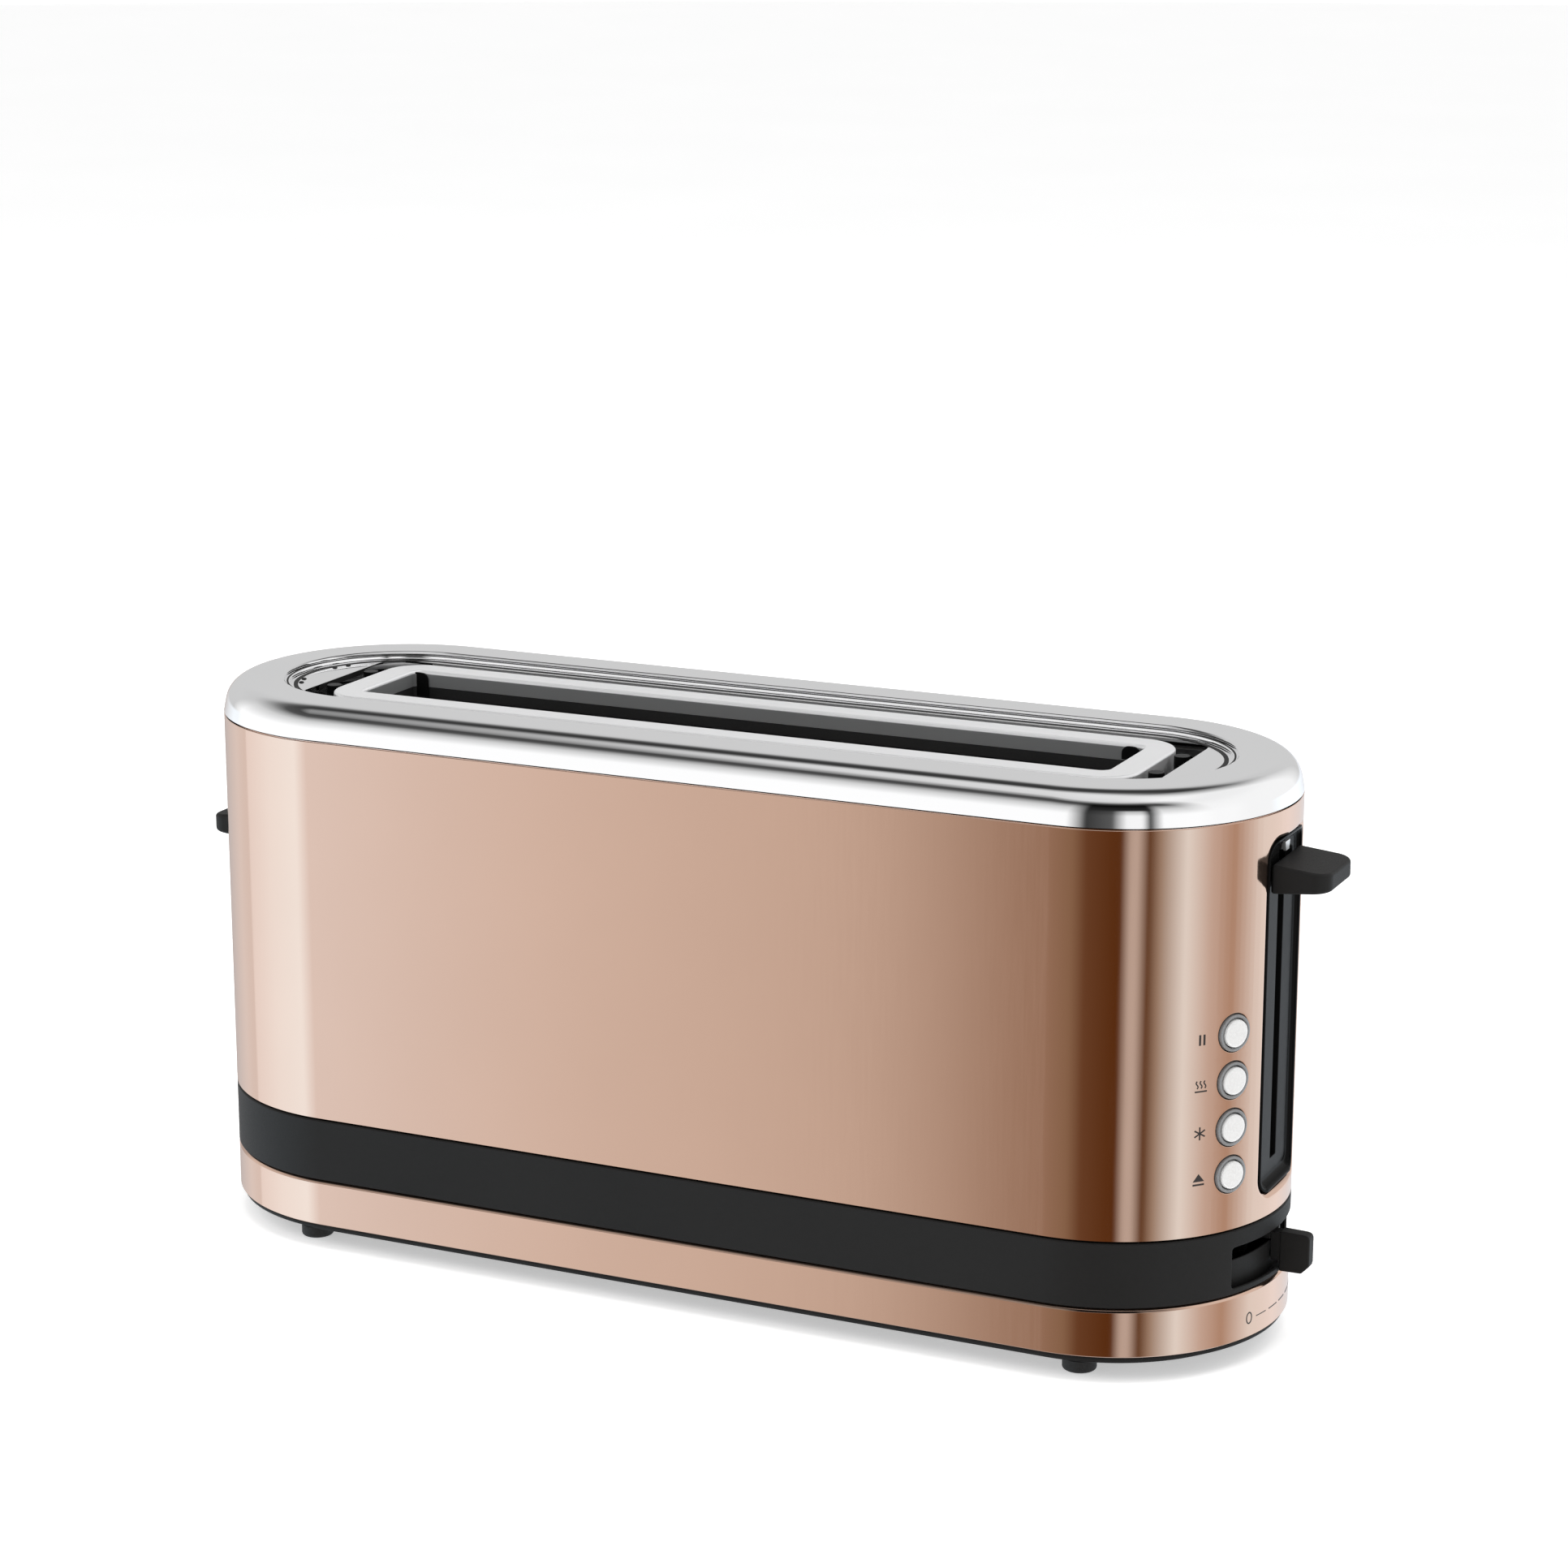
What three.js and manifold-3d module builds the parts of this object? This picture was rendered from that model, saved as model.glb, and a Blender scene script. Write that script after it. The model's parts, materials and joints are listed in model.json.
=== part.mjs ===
// A long-slot pop-up toaster with a built-in bun warmer, in millimetres, +Z up.
// The origin is on the table under the middle of the body. +X is the end with the lift lever,
// -Y is the front, and the crumb tray slides out of the back.
import * as THREE from 'three';
import { mergeVertices } from 'three/addons/utils/BufferGeometryUtils.js';
import Module from 'manifold-3d';

const wasm = await Module();
wasm.setup();

// ---- Driving dimensions ------------------------------------------------------------------
const END_RADIUS = 58.8;        // radius of the round ends, and half the body's width
const END_X = 131.2;            // distance of each end's centre from the middle
const GAP = 0.3;                // clearance between pieces that touch
const SHEET = 1.2;              // thickness of the steel sheet
const END_STEPS = 18;           // flats round half a body end
const ROUND_STEPS = 12;         // flats round a small cylinder

const FOOT_TOP = 4.3;
const PAN_BOTTOM = 4.6;
const LIP_BOTTOM = 6.6;
const LIP_TOP = 8.2;
const BAND_BOTTOM = 24.7;
const BAND_TOP = 46;
const SHELL_TOP = 177.5;
const TOP = 188.8;
const FILLET = 8;
const WALL_OUTER = END_RADIUS - 3;      // base pan's inner wall
const WALL_INNER = END_RADIUS - 4.6;
const BAND_INNER = WALL_OUTER + GAP;
const COVER_SKIRT = END_RADIUS - 1.5;   // the cover's skirt inside the shell
const LINER_RADIUS = END_RADIUS - 4;

const RECESS_RADIUS = 38.1;     // recess in the top cover
const RECESS_STEP = 1.3;
const OPENING_X = 152.8;        // rounded opening in the recess floor, half sizes
const OPENING_Y = 30.3;

const RING_X = 144.6;           // bun-warmer ring, outer half sizes
const RING_Y = 28.3;
const RING_CORNER = 13;
const RING_STRIP = 10;
const RING_TOP = 186.4;
const RING_BOTTOM = RING_TOP - 1.4;
const RING_OUTER_SKIRT = 179.5;
const RING_INNER_SKIRT = 180.6;

const CHAMBER_X = 136.2;        // inner faces of the end plates
const CHAMBER_BOTTOM = 46;
const LINER_BOTTOM = 173.5;
const LINER_TOP = 174.7;

const LIFT_TRAVEL = 84;         // how far the carriage goes down
const RACK_Z = 131;             // underside of the bread rack at rest
const ROD_X = 150;
const ROD_RADIUS = 2.5;
const LIFT_Z = 156.3;           // middle of the lift knob at rest

const WARMER_Z = 131;           // middle of the warmer knob at rest
const WARMER_TRAVEL = 28;
const PINION_X = -165;
const PINION_Z = 107.5;
const PINION_RADIUS = 7;
const PINION_TEETH = 14;
const POST_X = 148.6;
const POST_Y = 12;
const POST_RADIUS = 2.6;
const POST_BOTTOM = 133.5;

const CHANNEL_FLOOR_X = 186.2;  // outer face of a lever channel's floor
const CHANNEL_BACK_X = 184.6;
const FLANGE_X = 183.2;
const KNOB_ROOT_X = 187.1;
const KNOB_TIP_X = 205.4;
const ARM_TIP_X = 199.6;        // end of a lever's arm, inside its knob

const BUTTON_ANGLE = THREE.MathUtils.degToRad(-30.4);
const BUTTON_TOP_Z = 110.9;
const BUTTON_PITCH = 15.27;
const BUTTON_COUNT = 4;

const BROWNING_Z = 29;          // underside of the browning lever
const BROWNING_HALF_ANGLE = THREE.MathUtils.degToRad(28.2);
const BROWNING_SLOT = [26.8, 40.2];      // heights of the slot's edges in the base band
const BROWNING_INNER_SLOT = [28.2, 32.3]; // the same in the wall behind the band

const TRAY_X = 127.8;
const TRAY_BOTTOM = 35.9;
const TRAY_TOP = 41.5;
const TRAY_FRONT = -33;
const LEDGE_TOP = 35.6;

const FOOT_X = 140;
const FOOT_Y = 46.5;
const FOOT_RADIUS = 5.5;
const SCREW_X = 96;
const SCREW_Y = 38;
const GLAND_X = -100;
const GLAND_Z = 16.4;

// ---- Materials ---------------------------------------------------------------------------
function finish(color, roughness, metalness) {
  return () => new THREE.MeshStandardMaterial({ color, roughness, metalness });
}

const copperSteel = finish(0xc49a80, 0.16, 1);
const chrome = finish(0xd4d4d6, 0.1, 1);
const satinSteel = finish(0xc4c4c6, 0.35, 1);
const plainSteel = finish(0x8c8d90, 0.45, 1);
const darkSteel = finish(0x3a3a3c, 0.5, 0.8);
const mattBlack = finish(0x242425, 0.6, 0);
const glossBlack = finish(0x101011, 0.15, 0);
const rubber = finish(0x1a1a1a, 0.85, 0);
const bezelGrey = finish(0x8e9090, 0.35, 0.4);
const capWhite = finish(0xe2e2e0, 0.4, 0);
const mica = finish(0xb9a98c, 0.7, 0);
const heatingAlloy = finish(0x6f5a50, 0.5, 0.9);
const boardGreen = finish(0x2f5d3a, 0.55, 0);
const coilCopper = finish(0xa85a32, 0.35, 0.8);

// ---- Geometry helpers --------------------------------------------------------------------
function toSolid(geometry) {
  geometry.deleteAttribute('normal');
  geometry.deleteAttribute('uv');
  const merged = mergeVertices(geometry, 1e-4);
  const vertProperties = new Float32Array(merged.attributes.position.array);
  const triVerts = new Uint32Array(merged.index.array);
  return new wasm.Manifold(new wasm.Mesh({ numProp: 3, vertProperties, triVerts }));
}

function toMesh(name, solid, makeMaterial) {
  const { vertProperties, triVerts } = solid.getMesh();
  const geometry = new THREE.BufferGeometry();
  geometry.setAttribute('position', new THREE.BufferAttribute(vertProperties, 3));
  geometry.setIndex(new THREE.BufferAttribute(triVerts, 1));
  geometry.computeVertexNormals();
  const mesh = new THREE.Mesh(geometry, makeMaterial());
  mesh.name = name;
  return mesh;
}

function join(...solids) {
  return solids.reduce((whole, piece) => whole.add(piece));
}

function box(x0, x1, y0, y1, z0, z1) {
  const geometry = new THREE.BoxGeometry(x1 - x0, y1 - y0, z1 - z0);
  geometry.translate((x0 + x1) / 2, (y0 + y1) / 2, (z0 + z1) / 2);
  return toSolid(geometry);
}

function rod(radius, x, y, z0, z1, steps = ROUND_STEPS) {
  const geometry = new THREE.CylinderGeometry(radius, radius, z1 - z0, steps);
  geometry.rotateX(Math.PI / 2);
  geometry.translate(x, y, (z0 + z1) / 2);
  return toSolid(geometry);
}

function rodY(radius, x, z, y0, y1) {
  const geometry = new THREE.CylinderGeometry(radius, radius, y1 - y0, ROUND_STEPS);
  geometry.translate(x, (y0 + y1) / 2, z);
  return toSolid(geometry);
}

function roundedRectangle(halfX, halfY, corner, middleY = 0) {
  const shape = new THREE.Shape();
  const x = halfX - corner;
  const y = halfY - corner;
  shape.absarc(x, middleY - y, corner, -Math.PI / 2, 0);
  shape.absarc(x, middleY + y, corner, 0, Math.PI / 2);
  shape.absarc(-x, middleY + y, corner, Math.PI / 2, Math.PI);
  shape.absarc(-x, middleY - y, corner, Math.PI, 1.5 * Math.PI);
  return shape;
}

function polygon(points) {
  return new THREE.Shape(points.map(([x, y]) => new THREE.Vector2(x, y)));
}

function extrude(shape, depth, curveSegments = 5) {
  return new THREE.ExtrudeGeometry(shape, { depth, bevelEnabled: false, curveSegments });
}

// An outline in X and Y, raised from z0 to z1.
function slab(shape, z0, z1, curveSegments) {
  const geometry = extrude(shape, z1 - z0, curveSegments);
  geometry.translate(0, 0, z0);
  return toSolid(geometry);
}

// An outline in Y and Z, between x0 and x1.
function plateX(shape, x0, x1, curveSegments) {
  const geometry = extrude(shape, x1 - x0, curveSegments);
  const basis = new THREE.Matrix4().makeBasis(
    new THREE.Vector3(0, 1, 0),
    new THREE.Vector3(0, 0, 1),
    new THREE.Vector3(1, 0, 0),
  );
  geometry.applyMatrix4(basis);
  geometry.translate(x0, 0, 0);
  return toSolid(geometry);
}

// An outline in X and Z, between y0 and y1.
function plateY(shape, y0, y1, curveSegments) {
  const geometry = extrude(shape, y1 - y0, curveSegments);
  geometry.rotateX(Math.PI / 2);
  geometry.translate(0, y1, 0);
  return toSolid(geometry);
}

function stadium(radius) {
  const shape = new THREE.Shape();
  shape.absarc(END_X, 0, radius, -Math.PI / 2, Math.PI / 2);
  shape.absarc(-END_X, 0, radius, Math.PI / 2, 1.5 * Math.PI);
  return shape;
}

// Corner centres and directions all round a rounded rectangle of the given half sizes.
function stations(halfX, halfY, corner, stepsPerCorner) {
  const all = [];
  for (let quarter = 0; quarter < 4; quarter += 1) {
    const x = (quarter === 0 || quarter === 3 ? 1 : -1) * (halfX - corner);
    const y = (quarter < 2 ? 1 : -1) * (halfY - corner);
    for (let step = 0; step <= stepsPerCorner; step += 1) {
      const angle = (quarter + step / stepsPerCorner) * (Math.PI / 2);
      all.push({ x, y, cos: Math.cos(angle), sin: Math.sin(angle) });
    }
  }
  const same = (a, b) => Math.hypot(a.x - b.x + a.cos - b.cos, a.y - b.y + a.sin - b.sin) < 1e-6;
  return all.filter((station, index) => !same(station, all[(index + 1) % all.length]));
}

// A closed profile of [radius, z] points carried round an outline. The points run
// anticlockwise, seen with radius to the right and z up.
function sweep(outline, profile) {
  const positions = [];
  const indices = [];
  const count = profile.length;
  for (const { x, y, cos, sin } of outline) {
    for (const [radius, z] of profile) positions.push(x + radius * cos, y + radius * sin, z);
  }
  for (let i = 0; i < outline.length; i += 1) {
    const next = (i + 1) % outline.length;
    for (let j = 0; j < count; j += 1) {
      const k = (j + 1) % count;
      const [a, b, c, d] = [i * count + j, next * count + j, next * count + k, i * count + k];
      indices.push(a, b, c, a, c, d);
    }
  }
  const geometry = new THREE.BufferGeometry();
  geometry.setAttribute('position', new THREE.Float32BufferAttribute(positions, 3));
  geometry.setIndex(indices);
  return toSolid(geometry);
}

const bodyOutline = stations(END_X + END_RADIUS, END_RADIUS, END_RADIUS, END_STEPS / 2);

function bodyRing(outer, inner, z0, z1) {
  return sweep(bodyOutline, [[outer, z0], [outer, z1], [inner, z1], [inner, z0]]);
}

// A profile of [radius, distance] points turned about a line that leaves an end centre
// level, at an angle from +X.
function turnedRadially(profile, centreX, angle, z) {
  const points = profile.map(([radius, along]) => new THREE.Vector2(radius, along));
  const geometry = new THREE.LatheGeometry(points, ROUND_STEPS);
  const across = new THREE.Vector3(-Math.sin(angle), Math.cos(angle), 0);
  const outward = new THREE.Vector3(Math.cos(angle), Math.sin(angle), 0);
  const up = new THREE.Vector3(0, 0, 1);
  geometry.applyMatrix4(new THREE.Matrix4().makeBasis(up, outward, across));
  geometry.translate(centreX, 0, z);
  return toSolid(geometry);
}

// A block whose sides lie along and across a level line at an angle from +X.
function radialBox(along0, along1, halfWidth, z0, z1, angle) {
  const geometry = new THREE.BoxGeometry(along1 - along0, 2 * halfWidth, z1 - z0);
  geometry.translate((along0 + along1) / 2, 0, (z0 + z1) / 2);
  geometry.rotateZ(angle);
  geometry.translate(END_X, 0, 0);
  return toSolid(geometry);
}

// A level sector round the right end's centre.
function sector(inner, outer, halfAngle, z0, z1) {
  const shape = new THREE.Shape();
  shape.absarc(END_X, 0, outer, -halfAngle, halfAngle);
  shape.absarc(END_X, 0, inner, halfAngle, -halfAngle, true);
  return slab(shape, z0, z1, 12);
}

function mirrorX(solid) {
  return solid.mirror([1, 0, 0]);
}

const group = new THREE.Group();

function part(name, solid, makeMaterial) {
  group.add(toMesh(name, solid, makeMaterial));
}

// ---- Base --------------------------------------------------------------------------------
const TRAY_OPENING = box(-TRAY_X - 0.7, TRAY_X + 0.7, WALL_INNER - 3, END_RADIUS + 2, 33.5, 43);
const CORD_HOLE = rodY(5.3, GLAND_X, GLAND_Z, WALL_INNER - 3, END_RADIUS + 2);
const PIVOT_RADIUS = 2;

function basePan() {
  const lip = slab(stadium(END_RADIUS - 1), LIP_BOTTOM, LIP_TOP, END_STEPS);
  const bottom = slab(stadium(END_RADIUS - 4.5), PAN_BOTTOM, LIP_BOTTOM + 0.2, END_STEPS);
  const wall = bodyRing(WALL_OUTER, WALL_INNER, LIP_TOP - 0.2, BAND_TOP - 2);
  const boss = rod(5, END_X, 0, LIP_TOP - 0.2, BROWNING_Z - GAP);
  const pivot = rod(PIVOT_RADIUS, END_X, 0, LIP_TOP, LEDGE_TOP - 2);
  const leverSlot = sector(WALL_INNER - 3, WALL_OUTER + 1, BROWNING_HALF_ANGLE, ...BROWNING_INNER_SLOT);
  return join(lip, bottom, wall, boss, pivot).subtract(join(leverSlot, TRAY_OPENING, CORD_HOLE));
}

function lowerTrim() {
  const top = BAND_BOTTOM - GAP;
  const inner = WALL_OUTER + GAP;
  const profile = [
    [END_RADIUS, LIP_TOP + GAP],
    [END_RADIUS, top - 1.4],
    [END_RADIUS - 0.4, top - 0.4],
    [END_RADIUS - 1.2, top],
    [inner, top],
    [inner, LIP_TOP + GAP],
  ];
  return sweep(bodyOutline, profile).subtract(CORD_HOLE);
}

function baseBand() {
  const band = bodyRing(END_RADIUS, BAND_INNER, BAND_BOTTOM, BAND_TOP);
  const leverSlot = sector(BAND_INNER - 2, END_RADIUS + 2, BROWNING_HALF_ANGLE, ...BROWNING_SLOT);
  return band.subtract(join(leverSlot, TRAY_OPENING));
}

// A flush grommet; its collar sits behind the wall.
function cableGland() {
  const collar = WALL_INNER - 0.4;
  const face = END_RADIUS - 0.1;
  const profile = [[3.5, 49], [7, 49], [7, collar], [5, collar], [5, face], [3.5, face], [3.5, 49]];
  return turnedRadially(profile, GLAND_X, Math.PI / 2, GLAND_Z);
}

function foot(x, y) {
  const points = [[0, 0], [5, 0], [FOOT_RADIUS, 0.8], [FOOT_RADIUS, FOOT_TOP], [0, FOOT_TOP]];
  const geometry = new THREE.LatheGeometry(points.map(([r, h]) => new THREE.Vector2(r, h)), 20);
  geometry.rotateX(Math.PI / 2);
  geometry.translate(x, y, 0);
  return toSolid(geometry);
}

// ---- Outer skin --------------------------------------------------------------------------
const LIFT_WINDOW = { half: 16.7, bottom: 53.8, top: 168.4, corner: 6 };
const WARMER_WINDOW = { half: 13.6, bottom: 89.6, top: 145.6, corner: 5 };

function windowShape({ half, bottom, top, corner }, inset) {
  const middle = (bottom + top) / 2;
  return roundedRectangle(half - inset, (top - bottom) / 2 - inset, corner - inset, middle);
}

function outerShell() {
  const inner = END_RADIUS - SHEET;
  let shell = bodyRing(END_RADIUS, inner, BAND_TOP + GAP, SHELL_TOP);
  shell = shell.subtract(plateX(windowShape(LIFT_WINDOW, 0), 150, 200));
  shell = shell.subtract(plateX(windowShape(WARMER_WINDOW, 0), -200, -150));
  for (let i = 0; i < BUTTON_COUNT; i += 1) {
    const z = BUTTON_TOP_Z - i * BUTTON_PITCH;
    shell = shell.subtract(turnedRadially([[0, 50], [6.2, 50], [6.2, 62], [0, 62]], END_X, BUTTON_ANGLE, z));
  }
  return shell;
}

function arcPoints(radius, centreRadius, centreZ, startDegrees, endDegrees, steps) {
  return Array.from({ length: steps + 1 }, (_, i) => {
    const angle = THREE.MathUtils.degToRad(startDegrees + ((endDegrees - startDegrees) * i) / steps);
    return [centreRadius + radius * Math.cos(angle), centreZ + radius * Math.sin(angle)];
  });
}

function topCover() {
  const joint = SHELL_TOP + GAP;
  const filletZ = TOP - FILLET;
  const filletR = END_RADIUS - FILLET;
  const floorTop = TOP - 2 * RECESS_STEP;
  const floorBottom = floorTop - SHEET;
  const profile = [
    [END_RADIUS, joint],
    ...arcPoints(FILLET, filletR, filletZ, 0, 90, 5),
    [RECESS_RADIUS, TOP],
    [RECESS_RADIUS - 0.4, TOP - RECESS_STEP],
    [RECESS_RADIUS - 1.2, TOP - RECESS_STEP],
    [RECESS_RADIUS - 1.5, floorTop],
    [10, floorTop],
    [10, floorBottom],
    [RECESS_RADIUS + SHEET, floorBottom],
    [RECESS_RADIUS + SHEET, TOP - SHEET],
    ...arcPoints(FILLET - SHEET, filletR, filletZ, 90, 30, 3),
    [COVER_SKIRT - 1, joint + 1],
    [COVER_SKIRT - 1, joint - 6],
    [COVER_SKIRT, joint - 6],
    [COVER_SKIRT, joint],
  ];
  const opening = slab(roundedRectangle(OPENING_X, OPENING_Y, 9), floorBottom - 3, floorTop + 1);
  return sweep(bodyOutline, profile).subtract(opening);
}

// ---- Lever channels ----------------------------------------------------------------------
function channel(window, slotBottom, slotTop, ribs) {
  const { half, bottom, top, corner } = window;
  const flange = { half: half + 2.6, bottom: bottom - 3, top: top + 2.8, corner };
  const reach = rod(END_RADIUS - 0.4, END_X, 0, bottom - 9, top + 9, 2 * END_STEPS);
  const tub = plateX(windowShape(window, GAP), FLANGE_X + 0.4, 192).intersect(reach);
  const hollow = plateX(windowShape(window, GAP + 1.4), CHANNEL_FLOOR_X, 195);
  const back = plateX(windowShape(flange, 0), FLANGE_X, CHANNEL_BACK_X);
  const slotHalf = 2.7;
  const slotShape = roundedRectangle(slotHalf, (slotTop - slotBottom) / 2, slotHalf - 0.1, (slotTop + slotBottom) / 2);
  let solid = join(tub.subtract(hollow), back);
  for (const y of ribs) {
    const height = top - bottom - 8;
    const middle = (top + bottom) / 2;
    const rib = box(CHANNEL_BACK_X, CHANNEL_FLOOR_X + 0.4, y - 0.5, y + 0.5, middle - height / 2, middle + height / 2);
    solid = solid.add(rib);
  }
  return solid.subtract(plateX(slotShape, FLANGE_X - 1, CHANNEL_FLOOR_X + 3, 4));
}

function knob(halfWidth, middleZ, rootHalf, tipHalf, socketHalfZ) {
  const side = polygon([
    [KNOB_ROOT_X, middleZ - rootHalf],
    [KNOB_TIP_X - 1, middleZ - tipHalf],
    [KNOB_TIP_X, middleZ - tipHalf + 1],
    [KNOB_TIP_X, middleZ + tipHalf - 1],
    [KNOB_TIP_X - 1, middleZ + tipHalf],
    [KNOB_ROOT_X, middleZ + rootHalf],
  ]);
  const plan = roundedRectangle(KNOB_TIP_X - 150, halfWidth, 6);
  const planSolid = slab(plan, middleZ - 12, middleZ + 12, 5).translate([150, 0, 0]);
  const socket = box(KNOB_ROOT_X - 1, ARM_TIP_X + GAP, -1.3, 1.3, middleZ - socketHalfZ, middleZ + socketHalfZ);
  return plateY(side, -halfWidth, halfWidth).intersect(planSolid).subtract(socket);
}

// ---- Chassis -----------------------------------------------------------------------------
const END_PLATE_HALF = 38;

function endPlate() {
  const outer = CHAMBER_X + SHEET;
  const plate = box(CHAMBER_X, outer, -END_PLATE_HALF, END_PLATE_HALF, LIP_TOP + GAP, LINER_BOTTOM - GAP);
  const ledge = box(TRAY_X - 3.8, outer, TRAY_FRONT - 1, 50, LEDGE_TOP - 1.4, LEDGE_TOP);
  const rackSlot = box(CHAMBER_X - 1, outer + 1, -2.2, 2.2, RACK_Z - LIFT_TRAVEL - 4, RACK_Z + 10);
  const leverWindow = box(CHAMBER_X - 1, outer + 1, -14, 14, LIP_TOP, BROWNING_Z + 4.4);
  return join(plate, ledge).subtract(rackSlot).subtract(leverWindow);
}

function reflector(side) {
  const y = side * 33.4;
  return box(GAP - CHAMBER_X, CHAMBER_X - GAP, y - 0.4, y + 0.4, CHAMBER_BOTTOM, LINER_BOTTOM - GAP);
}

function topLiner() {
  let sheet = slab(stadium(LINER_RADIUS), LINER_BOTTOM, LINER_TOP, END_STEPS);
  sheet = sheet.subtract(slab(roundedRectangle(137.4, 20.4, 5), LINER_BOTTOM - 1, LINER_TOP + 1));
  for (const x of [-POST_X, POST_X]) {
    for (const y of [-POST_Y, POST_Y]) {
      sheet = sheet.subtract(rod(POST_RADIUS + 0.5, x, y, LINER_BOTTOM - 1, LINER_TOP + 1));
    }
  }
  return sheet;
}

function heaterCard(side) {
  const y = side * 25.9;
  return box(GAP - CHAMBER_X, CHAMBER_X - GAP, y - 0.4, y + 0.4, 52, LINER_BOTTOM - 3.3);
}

// One flat wire that runs to and fro along the card.
function heaterRibbon(side) {
  const y = side * 24.95;
  const runs = 10;
  const pitch = 10.9;
  const lowest = 60;
  const half = 130;
  const pieces = [];
  for (let i = 0; i < runs; i += 1) {
    const z = lowest + i * pitch;
    pieces.push(box(-half, half, y - 0.25, y + 0.25, z - 1, z + 1));
    if (i < runs - 1) {
      const x = i % 2 === 0 ? half : -half;
      pieces.push(box(x - 2, x + 2, y - 0.25, y + 0.25, z - 1, z + pitch + 1));
    }
  }
  return join(...pieces);
}

// ---- Bread carriage ----------------------------------------------------------------------
const ARM_COUNT = 11;
const ARM_PITCH = 24;
const SLEEVE_BOTTOM = 142;
const SLEEVE_TOP = 160;
const TAB_Z = 147;              // underside of the tab that carries the armature
const ARMATURE_X = 162;
const ARMATURE_Y = 18;
const MAGNET_TOP = 60;

function breadRack() {
  const pieces = [box(-141, 138.7, -1, 1, RACK_Z, RACK_Z + 4)];
  for (let i = 0; i < ARM_COUNT; i += 1) {
    const x = (i - (ARM_COUNT - 1) / 2) * ARM_PITCH;
    pieces.push(box(x - 0.8, x + 0.8, -11, 11, RACK_Z + 3, RACK_Z + 4.6));
  }
  return join(...pieces);
}

function liftBracket() {
  const hook = box(139, 143.6, -1, 1, RACK_Z, SLEEVE_TOP);
  const web = box(143, 178, -1, 1, SLEEVE_BOTTOM + 1, SLEEVE_TOP);
  const arm = box(177, ARM_TIP_X, -1, 1, LIFT_Z - 2.4, LIFT_Z + 2.4);
  const sleeve = rod(4.8, ROD_X, 0, SLEEVE_BOTTOM, SLEEVE_TOP);
  const tab = box(ARMATURE_X - 6, ARMATURE_X + 6, 0, ARMATURE_Y + 6, TAB_Z, TAB_Z + 1.5);
  const bore = rod(ROD_RADIUS + 0.4, ROD_X, 0, SLEEVE_BOTTOM - 1, SLEEVE_TOP + 1);
  return join(hook, web, arm, sleeve, tab).subtract(bore);
}

function armature() {
  const bottom = MAGNET_TOP + LIFT_TRAVEL + 0.8;
  return box(ARMATURE_X - 6, ARMATURE_X + 6, ARMATURE_Y - 6, ARMATURE_Y + 6, bottom, TAB_Z - GAP);
}

function magnetFrame() {
  const foot = box(137.7, 139.2, 10, 30, 42, 66);
  const arm = box(139, 154, ARMATURE_Y - 4, ARMATURE_Y + 4, 48, 51);
  const yoke = box(153, 171, ARMATURE_Y - 9, ARMATURE_Y + 9, 48, 51);
  return join(foot, arm, yoke, rod(3, ARMATURE_X, ARMATURE_Y, 50, MAGNET_TOP));
}

function magnetCoil() {
  const outer = rod(8, ARMATURE_X, ARMATURE_Y, 51 + GAP, MAGNET_TOP - GAP);
  return outer.subtract(rod(3.5, ARMATURE_X, ARMATURE_Y, 50, MAGNET_TOP + 1));
}

function returnSpring() {
  const turns = 8;
  const stepsPerTurn = 12;
  const radius = 4;
  const wire = 0.6;
  const bottom = 41;
  const top = SLEEVE_BOTTOM - 1;
  const points = [];
  for (let i = 0; i <= turns * stepsPerTurn; i += 1) {
    const angle = (2 * Math.PI * i) / stepsPerTurn;
    const z = bottom + ((top - bottom) * i) / (turns * stepsPerTurn);
    points.push(new THREE.Vector3(ROD_X + radius * Math.cos(angle), radius * Math.sin(angle), z));
  }
  const section = new THREE.Shape();
  section.absarc(0, 0, wire, 0, 2 * Math.PI);
  const extrudePath = new THREE.CatmullRomCurve3(points);
  const steps = turns * stepsPerTurn;
  return toSolid(new THREE.ExtrudeGeometry(section, { steps, extrudePath, curveSegments: 3 }));
}

// A wire frame that holds the bread upright.
function grille(side) {
  const y = side * 18.9;
  const wires = 11;
  const pitch = 26;
  const half = (pitch * (wires - 1)) / 2;
  const pieces = [
    box(-half - 0.7, half + 0.7, y - 0.7, y + 0.7, 52, 54),
    box(-half - 0.7, half + 0.7, y - 0.7, y + 0.7, 168, 170),
  ];
  for (let i = 0; i < wires; i += 1) {
    const x = -half + i * pitch;
    pieces.push(box(x - 0.7, x + 0.7, y - 0.7, y + 0.7, 53, 169));
  }
  return join(...pieces);
}

// ---- Bun warmer --------------------------------------------------------------------------
function warmerRing() {
  const inner = RING_CORNER - RING_STRIP;
  const profile = [
    [RING_CORNER, RING_OUTER_SKIRT],
    [RING_CORNER, RING_TOP - 0.9],
    [RING_CORNER - 0.3, RING_TOP - 0.2],
    [RING_CORNER - 1, RING_TOP],
    [inner + 1, RING_TOP],
    [inner + 0.3, RING_TOP - 0.2],
    [inner, RING_TOP - 0.9],
    [inner, RING_INNER_SKIRT],
    [inner + SHEET, RING_INNER_SKIRT],
    [inner + SHEET, RING_BOTTOM],
    [RING_CORNER - SHEET, RING_BOTTOM],
    [RING_CORNER - SHEET, RING_OUTER_SKIRT],
  ];
  return sweep(stations(RING_X, RING_Y, RING_CORNER, 5), profile);
}

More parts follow.
